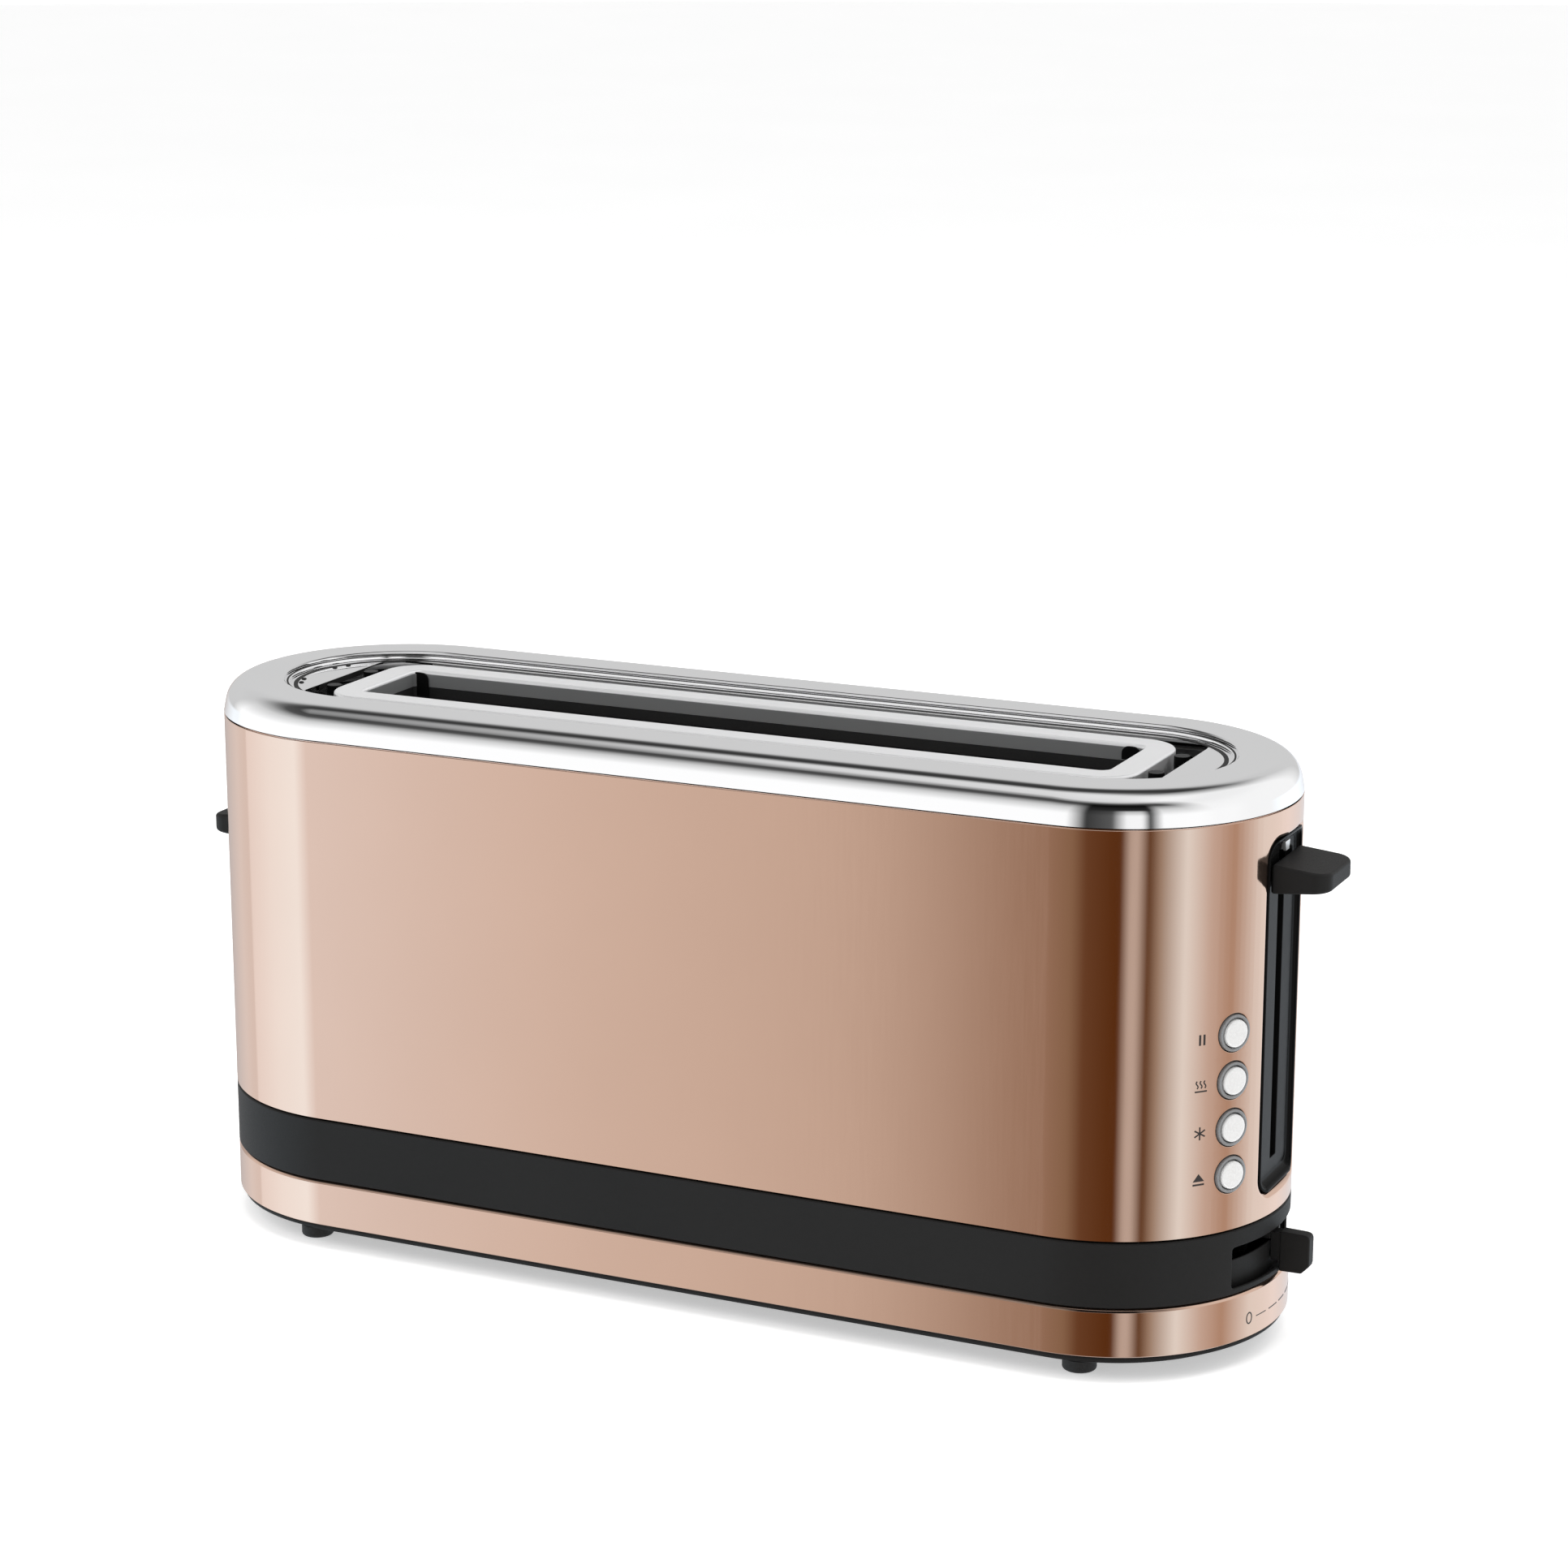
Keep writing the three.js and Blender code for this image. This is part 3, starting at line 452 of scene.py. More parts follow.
# ---- Materials ---------------------------------------------------------------------------
class Graph:
    """Shorthands for the nodes of one material or of the world."""

    def __init__(self, node_tree):
        self.nodes, self.links = node_tree.nodes, node_tree.links

    def add(self, kind, linked=None, **values):
        """A node with outputs linked to its inputs and values on others (_ is a space)."""
        node = self.nodes.new(f"ShaderNode{kind}")
        for label, output in (linked or {}).items():
            self.links.new(output, node.inputs[label])
        for label, value in values.items():
            node.inputs[label.replace("_", " ")].default_value = value
        return node

    def noise(self, scale, stretch=(1, 1, 1), detail=4.0, roughness=0.55):
        """A noise in the row frame, in cells a metre, stretched along the axes."""
        where = self.add("TexCoord").outputs["Object"]
        place = self.add("Mapping", {"Vector": where}, Scale=stretch).outputs["Vector"]
        texture = self.add("TexNoise", {"Vector": place}, Scale=scale, Detail=detail, Roughness=roughness)
        return texture.outputs["Fac"]

    def spread(self, value, start, end, low=0.0, high=1.0):
        """The value from start to end, as low to high."""
        ends = {"From_Min": start, "From_Max": end, "To_Min": low, "To_Max": high}
        return self.add("MapRange", {"Value": value}, **ends).outputs["Result"]

    def ramp(self, value, stops):
        """A colour ramp from stops of (position, red, green, blue) or (position, grey)."""
        node = self.add("ValToRGB", {"Fac": value})
        elements = node.color_ramp.elements
        while len(elements) < len(stops):
            elements.new(0.5)
        for element, (position, *_) in zip(elements, stops):
            element.position = position
        for element, (_, *color) in zip(elements, stops):
            element.color = (*(color if len(color) == 3 else color * 3), 1)
        return node.outputs["Color"]

    def tinted(self, value, dark, light):
        """A noise as a drift from one colour to another."""
        return self.ramp(value, ((0.3, *dark), (0.7, *light)))


def tree(name):
    material = bpy.data.materials.new(name)
    material.use_nodes = True
    graph = Graph(material.node_tree)
    return material, graph, graph.nodes["Principled BSDF"]


def look(name, color, vary, rough, metallic=0.0, grain=None, sockets=None, cloud=14.0):
    """A material: a colour that drifts by vary, a roughness range, and a grain for bump.
    The grain is (cells a metre, stretch, strength, height in metres)."""
    material, graph, shader = tree(name)
    broad = graph.noise(cloud)
    dark = [c * (1 - vary) for c in color]
    light = [min(1, c * (1 + vary)) for c in color]
    graph.links.new(graph.tinted(broad, dark, light), shader.inputs["Base Color"])
    fine = broad
    if grain:
        scale, stretch, strength, height = grain
        fine = graph.noise(scale, stretch, detail=3.0)
        bump = graph.add("Bump", {"Height": fine}, Strength=strength, Distance=height)
        graph.links.new(bump.outputs["Normal"], shader.inputs["Normal"])
    graph.links.new(graph.spread(fine, 0.3, 0.7, *rough), shader.inputs["Roughness"])
    shader.inputs["Metallic"].default_value = metallic
    for socket, value in (sockets or {}).items():
        shader.inputs[socket].default_value = value
    return material


EVEN = (1, 1, 1)
# Of each material: colour, drift, roughness range, metal, grain, and what else it sets.
FINISHES = {
    "copper_steel": ((0.655, 0.45, 0.352), 0.015, (0.07, 0.1), 1.0, (900, (1, 1, 0.04), 0.03, 0.00002)),
    "chrome_steel": ((0.94, 0.94, 0.945), 0.01, (0.04, 0.06), 1.0, (700, EVEN, 0.015, 0.00001)),
    "satin_steel": ((0.86, 0.86, 0.865), 0.02, (0.3, 0.38), 0.55, (2400, EVEN, 0.05, 0.00002)),
    "plain_steel": ((0.5, 0.505, 0.515), 0.08, (0.32, 0.48), 1.0, (900, (0.08, 1, 1), 0.15, 0.00004)),
    "dark_steel": ((0.035, 0.035, 0.036), 0.15, (0.45, 0.6), 0.6, (1200, EVEN, 0.1, 0.00005)),
    "matt_black": ((0.015, 0.0147, 0.0145), 0.08, (0.48, 0.6), 0.0, (2600, EVEN, 0.16, 0.00005),
                   {"Specular IOR Level": 0.16}),
    "gloss_black": ((0.006, 0.006, 0.006), 0.08, (0.16, 0.22), 0.0, (400, EVEN, 0.02, 0.00002),
                    {"IOR": 1.1}),
    "rubber_black": ((0.018, 0.018, 0.018), 0.15, (0.7, 0.85), 0.0, (2200, EVEN, 0.3, 0.00008)),
    "bezel_grey": ((0.27, 0.275, 0.28), 0.04, (0.28, 0.36), 0.35, (1800, EVEN, 0.05, 0.00002)),
    "cap_white": ((0.8, 0.8, 0.795), 0.01, (0.24, 0.3), 0.0, (1200, EVEN, 0.02, 0.00001)),
    "nylon_white": ((0.68, 0.67, 0.62), 0.05, (0.4, 0.5), 0.0, (2000, EVEN, 0.1, 0.00004),
                    {"Subsurface Weight": 0.1}),
    "mica_sheet": ((0.42, 0.36, 0.26), 0.25, (0.4, 0.7), 0.0, (500, EVEN, 0.4, 0.0001), {}, 90.0),
    "heating_wire": ((0.2, 0.14, 0.11), 0.3, (0.4, 0.6), 0.9, (1500, EVEN, 0.2, 0.00004), {}, 120.0),
    "board_green": ((0.03, 0.12, 0.05), 0.2, (0.35, 0.5), 0.0, (1400, EVEN, 0.1, 0.00004)),
    "coil_wire": ((0.45, 0.16, 0.06), 0.15, (0.25, 0.4), 0.9, (60, (0.2, 0.2, 30), 0.5, 0.0003)),
}
LOOKS = {name: look(name, *finish) for name, finish in FINISHES.items()}
PRINT = look("print_brown", (0.02, 0.012, 0.01), 0.1, (0.35, 0.45), 0.0)


# ---- Skins -------------------------------------------------------------------------------
def channel_window(box, u):
    """The window round a channel: its flange is wider than the opening by these margins."""
    side, below, above = 2.6, 3.0, 2.8
    bottom, top = box[0][2] + below, box[1][2] - above
    half = ((box[1][1] - box[0][1]) / 2 - side, (top - bottom) / 2)
    return half, (u, (top + bottom) / 2)


def button_places():
    """The number, the angle round the right end and the height of each button."""
    for number in range(1, 5):
        low, high = mm_box(f"button_bezel_{number}")
        x, y, z = (low + high) / 2
        yield number, math.atan2(y, x - CX), z


def outer_shell():
    lift_half, lift_middle = channel_window(LIFT_CHANNEL, 0)
    warmer_half, warmer_middle = channel_window(WARMER_CHANNEL, TOTAL / 2)
    windows = [
        Window(lift_middle, lift_half, 6, 2.0, 3.6, 9),
        Window(warmer_middle, warmer_half, 5, 2.0, 3.6, 8),
    ]
    for _, angle, z in button_places():
        windows.append(Window((angle * R % TOTAL, z), (6.2, 6.2), 6.2, 0.3, 1.1, 8))
    top_ease = [(0.12, 0.0), (0.0, 0.12)]
    walls = skin("outer_shell_skin", R, SHELL[0][2], SHELL[1][2], 1.2, windows, 0.5, top_ease)
    dress(walls, "outer_shell")


def base_band():
    bottom, top = 26.6, 40.3
    half = (math.radians(28.2) * R, (top - bottom) / 2)
    windows = [Window((0, (bottom + top) / 2), half, 1.2, 0.35, 1.6, 5)]
    low, high = mm_box("tray_handle")
    half = (high[0] + 0.4, (high[2] - low[2]) / 2 + 0.4)
    windows.append(Window((BACK_MIDDLE, (low[2] + high[2]) / 2), half, 0.8, 0.3, 1.5, 4))
    dress(skin("base_band_skin", R, BAND[0][2], BAND[1][2], 2.7, windows, 0.4), "base_band")


def lower_trim():
    gland = mm_box("cable_gland")
    middle = (gland[0] + gland[1]) / 2
    windows = [Window((BACK_MIDDLE - middle[0], middle[2]), (5.3, 5.3), 5.3, 0.4, 1.6, 6)]
    angles = np.radians((90, 72, 54, 36, 18, 0))
    turn = [(1.5 * (1 - math.cos(a)), 1.5 * (1 - math.sin(a))) for a in angles]
    dress(skin("lower_trim_skin", R, TRIM[0][2], TRIM[1][2], 2.7, windows, 0.3, turn), "lower_trim")


# ---- Top cover ---------------------------------------------------------------------------
def edge_ring(half_x, half_y, corner, z, like):
    """A ring of a rounded rectangle whose points face those of another ring."""
    core = np.array([half_x - corner, half_y - corner])
    return np.array([(*facing((x, y), core, corner), z) for x, y, _ in like])


def top_cover():
    """The pressed top: skirt, fillet, flat, two steps down and the hole's edge."""
    fillet, sheet = 8.4, 1.2
    low, joint = COVER[0][2], SHELL[1][2] + 0.3
    step, inner = TOP - RECESS_STEP, RECESS - 2.0
    profile = [(R - 1.5, low), (R - 1.5, joint), (R - 0.4, joint), (R, joint + 0.35)]
    profile += arc((R - 0.6 - fillet, TOP - fillet), fillet, 9, 90, 28)
    profile += [(RECESS + 0.9, TOP), (RECESS + 0.35, TOP - 0.12), (RECESS, TOP - 0.45)]
    profile += step_groove(RECESS, step)
    profile += [(inner + 0.4, step), (inner + 0.15, step - 0.1), (inner, step - 0.4)]
    profile += step_groove(inner, RECESS_FLOOR)
    rings = [body_ring(radius, z) for radius, z in profile]
    like = rings[-1]
    for grow, drop in ((0.7, 0.0), (0.2, 0.06), (0.0, 0.2), (0.1, 0.35), (1.4, 0.5), (1.4, sheet)):
        rings.append(opening_ring(grow, RECESS_FLOOR - drop, like))
    back = [(RECESS + sheet, RECESS_FLOOR - sheet), (RECESS + sheet, TOP - sheet)]
    back += arc((R - fillet, TOP - fillet), fillet - sheet, 88, 10, 8)
    back += [(R - 2.5, joint + 1), (R - 2.5, low)]
    rings += [body_ring(radius, z) for radius, z in back]
    dress(solid("top_cover_skin", *loft(rings)), "top_cover")
    rivets()
    opening_painted_shade()
    recess_shade_strips()


def opening_ring(grow, z, like):
    """The outline of the hole in the recess, grown on all sides."""
    half_x, half_y = (half + grow for half in OPENING)
    return edge_ring(half_x, half_y, OPENING_CORNER + grow, z, like)


def step_groove(radius, level):
    """The foot of a pressed step, drawn in tight so that it reads as a dark line."""
    return [(radius - 0.02, level + 0.1), (radius - 0.02, level - 0.5), (radius - 0.5, level - 0.5),
            (radius - 0.55, level - 0.06), (radius - 0.75, level)]


def opening_painted_shade():
    """A black strip under the cover's edge, painted shade that darkens the hole's edge; faulty: it is
    whole only at its two ends.
    Where like lies inside the opening's core, edge_ring divides zero by zero."""
    like = body_ring(20, RECESS_FLOOR)
    sizes = ((1.3, 0.55), (1.3, 2.2), (0.35, 2.2), (0.35, 0.55))
    rings = [opening_ring(grow, RECESS_FLOOR - drop, like) for grow, drop in sizes]
    # Painted shade: a matt black strip that darkens the edge of the hole in the recess.
    dress(solid("opening_painted_shade", *loft(rings)), slot="matt_black", body="housing")


def recess_shade_strips():
    """Painted shade: a black strip at the foot of each step, where the crease is dark."""
    lower = ((33.4, -0.2), (34.95, -0.2), (34.95, 0.12), (33.5, 0.12))
    upper = ((36.6, 1.1), (37.3, 1.1), (37.3, 1.4), (36.7, 1.4))
    for name, shade_profile in (("recess_shade_strip", lower), ("recess_shade_strip_upper", upper)):
        profile = [(radius, RECESS_FLOOR + rise) for radius, rise in shade_profile]
        dress(solid(name, *sweep(profile)), slot="matt_black", body="housing")


def rivets():
    """Four small heads on the step at the left end of the recess."""
    profile = [(0.01, 0.45), (0.5, 0.4), (0.85, 0.2), (1.0, -0.2)]
    objects = []
    for angle in (152, 162, 198, 208):
        a = math.radians(angle)
        centre = (-CX + 32.4 * math.cos(a), 32.4 * math.sin(a), RECESS_FLOOR)
        objects.append(turned(f"rivet_{angle}", profile, centre, steps=20))
    dress(joined("cover_rivets", objects), slot="dark_steel", body="housing")


# ---- Base --------------------------------------------------------------------------------
def base_pan():
    """The floor of the body: its lip, the floor plate and the wall behind the band."""
    bottom, lip_low, lip_high = PAN[0][2], PAN[0][2] + 2.0, PAN[0][2] + 3.6
    lip = [(R - 6, lip_low), (R - 1.6, lip_low), (R - 1.15, lip_low + 0.15), (R - 1, lip_low + 0.5),
           (R - 1, lip_high - 0.4), (R - 1.3, lip_high), (R - 6, lip_high)]
    flange = solid("lip", *sweep(lip))
    top = lip_low + 0.2
    floor_plate = [(R - 4.5, bottom + 0.5), (R - 4.5, top), (R - 6.5, top), (20, top), (20, bottom),
                   (R - 5.4, bottom)]
    plate = solid("plate", *sweep(floor_plate))
    middle = solid("middle", *prism(body_ring(20.2, 0)[:, :2], bottom, top))
    windows = [Window((0, 36.6), (math.radians(27.6) * R, 1.9), 0.8, 0.3, 1.2, 4),
               Window((BACK_MIDDLE, 38.2), (127.5, 4.4), 0.6, 0.3, 0.9, 3)]
    wall = skin("wall", R - 3.2, lip_high, BAND[1][2] - 2.5, 1.2, windows, ease=0.3)
    dress(joined("base_pan_body", [flange, plate, middle, wall]), "base_pan")


def feet():
    for side in CORNERS:
        low, high = mm_box(f"foot_{side}")
        centre = (*(low + high)[:2] / 2, 0)
        radius = (high[0] - low[0]) / 2
        profile = [(0.01, 0.25), (3.2, 0.25), (3.5, 0)]
        profile += arc((radius - 0.9, 0.9), 0.9, -90, 0, 6)
        profile += [(radius, high[2] - 0.3), (radius - 0.3, high[2]), (0.01, high[2])]
        dress(turned(f"foot_{side}_pad", profile, centre), f"foot_{side}")


def base_screws():
    bore = [(0.9, 0.75), (0.9, 0.15)]
    head = [bore[1], (1.1, 0.0), (2.2, 0.02), (2.8, 0.35), (3.0, 1.2), (0.01, 1.2)]
    for side in CORNERS:
        low, high = mm_box(f"base_screw_{side}")
        centre = (*(low + high)[:2] / 2, low[2])
        recess = turned("recess", bore, centre, steps=6)
        cap = turned("head", head, centre, steps=36)
        dress(joined(f"base_screw_{side}_head", [cap, recess]), f"base_screw_{side}")


def cable_gland():
    low, high = mm_box("cable_gland")
    middle = (low + high) / 2
    profile = [(3.5, low[1]), (7, low[1]), (7, low[1] + 4.6), (5, low[1] + 4.6), (5, high[1] - 0.6),
               (4.6, high[1] - 0.1), (4.1, high[1]), (3.6, high[1] - 0.5), (3.5, high[1] - 1.2)]
    centre = (middle[0], 0, middle[2])
    dress(turned("cable_gland_bush", profile, centre, (0, 1, 0), closed=True), "cable_gland")


# ---- Lever channels ----------------------------------------------------------------------
def channel(name, box, side, corner, slot_z):
    """A moulded well in the end of the body, its rim flush with the curved skin."""
    half, (_, middle) = channel_window(box, 0)
    rim, flange, cove = R - 0.35, 2.4, 2.2
    back = box[0][0] if side > 0 else -box[1][0]

    def ring(inset, x=None):
        """The well's outline at a depth x, or on the curved skin."""
        shape = rounded(half[0] - inset, half[1] - inset, max(corner - inset, 0.8), (0, middle), 14)
        xs = [CX + math.sqrt(rim * rim - y * y) if x is None else x for y, _ in shape]
        return np.array([(side * v, y, z) for v, (y, z) in zip(xs, shape)])

    rings = [ring(-flange, back + 1.4), ring(0.35, back + 1.4), ring(0.35)]
    for inset, rise in ((0.75, 0.12), (1.15, 0.0), (1.5, -0.25), (1.7, -0.75)):
        shape = ring(inset)
        shape[:, 0] += side * rise
        rings.append(shape)
    for angle in np.radians(np.linspace(10, 90, 8)):
        shape = ring(1.75 + cove * (1 - math.cos(angle)))
        reach = CHANNEL_FLOOR + cove * (1 - math.sin(angle))
        shape[:, 0] = side * np.minimum(np.abs(shape[:, 0]) - 0.75, reach)
        rings.append(shape)
    slot_half, slot_mid = (slot_z[1] - slot_z[0]) / 2, (slot_z[1] + slot_z[0]) / 2
    for grow, drop in ((0.5, 0.0), (0.15, 0.12), (0.0, 0.5), (0.0, 2.4), (0.0, CHANNEL_FLOOR - back)):
        x = side * (CHANNEL_FLOOR - drop)
        rings.append(slot_ring(rings[-1], CHANNEL_SLOT + grow, slot_half + grow, slot_mid, x))
    rings.append(ring(-flange, back))
    dress(solid(f"{name}_well", *loft(rings)), name)


def slot_ring(like, half_y, half_z, middle, x):
    """The outline of a slot with round ends, its points facing those of another ring."""
    core = np.array([0.05, half_z - half_y + 0.05])
    places = [facing((y, z - middle), core, half_y - 0.05) for _, y, z in like]
    return np.array([(x, y, z + middle) for y, z in places])


def knob(name, side, shorter=0.0):
    """A lever grip: a half-round slab that tapers towards its tip."""
    low, high = mm_box(name)
    root, tip = (low[0], high[0]) if side > 0 else (-high[0], -low[0])
    tip -= shorter
    half = (high[1] - low[1]) / 2
    middle = (low[2] + high[2]) / 2
    root_half = (high[2] - low[2]) / 2
    tip_half = 2.95
    outline = [(root, -half), *arc((tip - 5.5, -half + 5.5), 5.5, -90, 0, 12),
               *arc((tip - 5.5, half - 5.5), 5.5, 0, 90, 12), (root, half)]
    rings = []
    for sign in (-1, 1):
        ring = []
        for x, y in outline:
            share = (x - root) / (tip - root)
            z = middle + sign * (root_half + (tip_half - root_half) * share)
            ring.append((side * x, y, z))
        rings.append(np.array(ring))
    obj = solid(f"{name}_grip", *loft(rings, closed=False), bevel=1.1, segments=5, angle=35)
    dress(obj, name)


def lift_tongue():
    """The pale catch above the lift grip, on a neck through the channel's slot."""
    plate = [(-1.6, 165.4), (3.0, 165.4), (2.0, 162.4), (-1.0, 162.4)]
    tongue = solid("tongue", *prism(plate, 186.7, 187.7, axis=0), bevel=0.15)
    neck = solid("neck", *block((184.0, -1.0, 162.8), (187.0, 1.8, 164.6)))
    dress(joined("lift_catch", [tongue, neck]), slot="satin_steel", body=BODY_OF["lift_bracket"])


# ---- Buttons and printed marks -----------------------------------------------------------
def buttons():
    for number, angle, z in button_places():
        out = (math.cos(angle), math.sin(angle), 0)
        centre = (CX, 0, z)
        bezel = [(4.75, R - 3.5), (7.0, R - 3.5), (7.0, R - 2.2), (5.95, R - 2.2), (5.95, R + 0.05),
                 (5.8, R + 0.45), (5.5, R + 0.6), (5.1, R + 0.6), (4.85, R + 0.4), (4.75, R)]
        cap = [(0.01, R - 7.3), (2, R - 7.3), (2, R - 3.2), (4.45, R - 3.2), (4.45, R + 0.5),
               (4.3, R + 1.05), (3.95, R + 1.3), (3.3, R + 1.38), (1.5, R + 1.4), (0.01, R + 1.4)]
        ring = turned(f"button_bezel_{number}_ring", bezel, centre, out, 72, closed=True)
        dress(ring, f"button_bezel_{number}")
        dress(turned(f"button_{number}_cap", cap, centre, out, 72), f"button_{number}")


def on_skin(points, lift):
    """Flat (distance round, height) points laid on the body's skin."""
    return np.array([(*around(u, -lift), z) for u, z in points])


def mark(shapes, lift=0.04):
    """Thin printed strips: each shape is a closed outline of (distance round, height)."""
    objects = []
    for index, shape in enumerate(shapes):
        rings = [on_skin(shape, -0.05), on_skin(shape, lift)]
        objects.append(solid(f"mark_{index}", *loft(rings, closed=False)))
    return objects


def stroke(path, width):
    """An outline of a line of even width along a path."""
    path = np.array(path, float)
    ahead = np.gradient(path, axis=0)
    ahead /= np.linalg.norm(ahead, axis=1)[:, None]
    across = np.stack([-ahead[:, 1], ahead[:, 0]], axis=1) * width / 2
    return np.concatenate([path + across, (path - across)[::-1]])


def ring_marks(middle, half, width, steps=20):
    """An oval line as short joined strips."""
    shapes = []
    for k in range(steps):
        a, b = (2 * math.pi * (k + e) / steps for e in (-0.04, 1.04))
        turns = (a, (a + b) / 2, b)
        path = [(middle[0] + half[0] * math.cos(t), middle[1] + half[1] * math.sin(t)) for t in turns]
        shapes.append(stroke(path, width))
    return shapes


def icon_defrost(u, z):
    return [stroke([(u + s * 0.75, z - 1.7), (u + s * 0.75, z + 1.7)], 0.7) for s in (-1, 1)]


def icon_reheat(u, z):
    shapes = []
    for k in (-1, 0, 1):
        middle = u + k * 1.35
        wave = [(middle + 0.35 * math.sin(t * 6.28), z - 0.6 + 2.4 * t) for t in np.linspace(0, 1, 9)]
        shapes.append(stroke(wave, 0.42))
    return shapes + [stroke([(u - 2.1, z - 1.6), (u + 2.1, z - 1.6)], 0.5)]


def icon_cold(u, z):
    shapes = []
    for turn in (90, 30, 150):
        a = math.radians(turn)
        reach = (2.1 * math.cos(a), 2.1 * math.sin(a))
        shapes.append(stroke([(u - reach[0], z - reach[1]), (u + reach[0], z + reach[1])], 0.5))
    return shapes


def icon_eject(u, z):
    triangle = [(u - 2.0, z - 0.5), (u + 2.0, z - 0.5), (u, z + 2.0)]
    return [np.array(triangle), stroke([(u - 2.0, z - 1.5), (u + 2.0, z - 1.5)], 0.6)]


def printed_marks():
    icon_u = math.radians(-41.8) * R + TOTAL
    shapes = []
    drawings = (icon_defrost, icon_reheat, icon_cold, icon_eject)
    for drawing, z in zip(drawings, (110.4, 95.5, 80.3, 65.2)):
        shapes += drawing(icon_u, z)
    u0 = math.radians(-19.8) * R + TOTAL
    shapes += ring_marks((u0, 14.9), (1.25, 1.8), 0.45)
    dashes = ((-16.2, -10.6, 0.3), (-8.6, -2.7, 0.36), (-0.8, 4.6, 0.42), (6.6, 11.8, 0.5),
              (13.8, 18.8, 0.58))
    for start, end, width in dashes:
        path = [(math.radians(a) * R + TOTAL, 14.6) for a in np.linspace(start, end, 6)]
        shapes.append(stroke(path, width))
    obj = joined("printed_marks", mark(shapes))
    dress(obj, slot="matt_black", body="housing")
    obj.data.materials[0] = PRINT


# ---- Browning control and tray -----------------------------------------------------------
def browning_tab():
    low, high = mm_box("browning_tab")
    tip = high[0]
    outline = [(R + CX + 0.1, low[2]), (tip - 2.6, low[2] + 0.1), (tip - 0.2, low[2] + 2.6),
               (tip, low[2] + 3.4), (tip, high[2] - 1.4), (tip - 0.6, high[2] - 0.5),
               (tip - 2, high[2] - 0.2), (R + CX + 0.1, high[2])]
    paddle = solid("paddle", *prism(outline, -2.4, 2.4, axis=1), bevel=0.7, segments=4)
    stem = solid("stem", *block((low[0], -2.2, low[2] + 3.6), (R + CX + 0.6, 2.2, high[2] - 0.6)))
    dress(joined("browning_tab_paddle", [paddle, stem]), "browning_tab")


def tray_handle():
    low, high = mm_box("tray_handle")
    grip = [(low[0], low[2]), (-26, low[2]), (-25, high[2] - 4.4), (25, high[2] - 4.4), (26, low[2]),
            (high[0], low[2]), (high[0], high[2]), (low[0], high[2])]
    front = solid("front", *prism(grip, high[1] - 1.6, high[1], axis=1), bevel=0.3)
    rear = solid("rear", *block((low[0], low[1], low[2]), (high[0], high[1] - 1.6, high[2])), bevel=0.2)
    dress(joined("tray_handle_bar", [front, rear]), "tray_handle")


# ---- Warmer ring -------------------------------------------------------------------------
def ring_plates():
    """Two small dark plates inside the far wall of the ring."""
    for label, start, end, drop in (("left", -140.5, -129.0, 8.4), ("right", 126.4, 132.6, 4.4)):
        top = RING[1][2] - 0.6
        flat = [(start, top - drop), (end, top - drop), *arc((end - 2.4, top - 2.4), 2.4, 0, 90, 6),
                *arc((start + 2.4, top - 2.4), 2.4, 90, 180, 6)]
        plate = solid(f"ring_plate_{label}", *prism(flat, 17.2, 17.9, axis=1), bevel=0.2)
        dress(plate, slot="gloss_black", body=BODY_OF["warmer_ring"])


def ring_painted_shade():
    """Painted shade inside the ring: a grey strip above and a black strip below, just proud of its inner
    wall.
    """
    like = body_ring(20, 0)
    half_x, half_y = RING[1][0] - RING_STRIP, RING[1][1] - RING_STRIP
    corner = RING_CORNER - RING_STRIP
    bands = (("upper", 180.9, 185.3, "bezel_grey"), ("lower", 177.3, 180.8, "dark_steel"))
    for label, low, high, slot in bands:
        sizes = ((0.0, low), (0.0, high), (-0.35, high), (-0.35, low))
        rings = [edge_ring(half_x + g, half_y + g, corner + g, z, like) for g, z in sizes]
        dress(solid(f"ring_painted_shade_{label}", *loft(rings)), slot=slot, body=BODY_OF["warmer_ring"])


def warmer_ring():
    """A frame with rounded edges, hollow from below."""
    low, high = RING
    bottom, top, skirt, turn = low[2], high[2], 1.2, 1.1
    corner, inner = RING_CORNER, RING_CORNER - RING_STRIP
    like = rounded(high[0] - RING_STRIP, high[1] - RING_STRIP, inner, steps=16)
    like = [(x, y, 0) for x, y in like]
    profile = [(corner, bottom)]
    profile += arc((corner - turn, top - turn), turn, 0, 90, 7)
    profile += arc((inner + turn, top - turn), turn, 90, 180, 7)
    profile += [(inner, bottom + 1.1), (inner + skirt, bottom + 1.1), (inner + skirt, top - 1.4),
                (corner - skirt, top - 1.4), (corner - skirt, bottom)]
    core_x, core_y = high[0] - corner, high[1] - corner
    rings = [edge_ring(core_x + out, core_y + out, out, z, like) for out, z in profile]
    dress(solid("warmer_ring_frame", *loft(rings)), "warmer_ring")


# ---- Inside ------------------------------------------------------------------------------
def copied(node, reach=None):
    """A CAD node's shape without its needless edges, cut off beyond x = reach."""
    mesh = frame["nodes"][node].data.copy()
    clean(mesh)
    grown = bmesh.new()
    grown.from_mesh(mesh)
    bmesh.ops.dissolve_limit(grown, angle_limit=math.radians(1), verts=grown.verts, edges=grown.edges)
    if reach:
        geometry = [*grown.verts, *grown.edges, *grown.faces]
        bmesh.ops.bisect_plane(grown, geom=geometry, plane_co=(reach * MM, 0, 0), plane_no=(1, 0, 0),
                               clear_outer=True)
        bmesh.ops.holes_fill(grown, edges=grown.edges)
    grown.to_mesh(mesh)
    grown.free()
    return placed(f"{node}_fine", mesh)


def copy_refined(node, bevel, slot=None):
    """A CAD node's shape with its edges rounded and a finished material."""
    dress(refine(copied(node), bevel, 2), node, slot=slot)


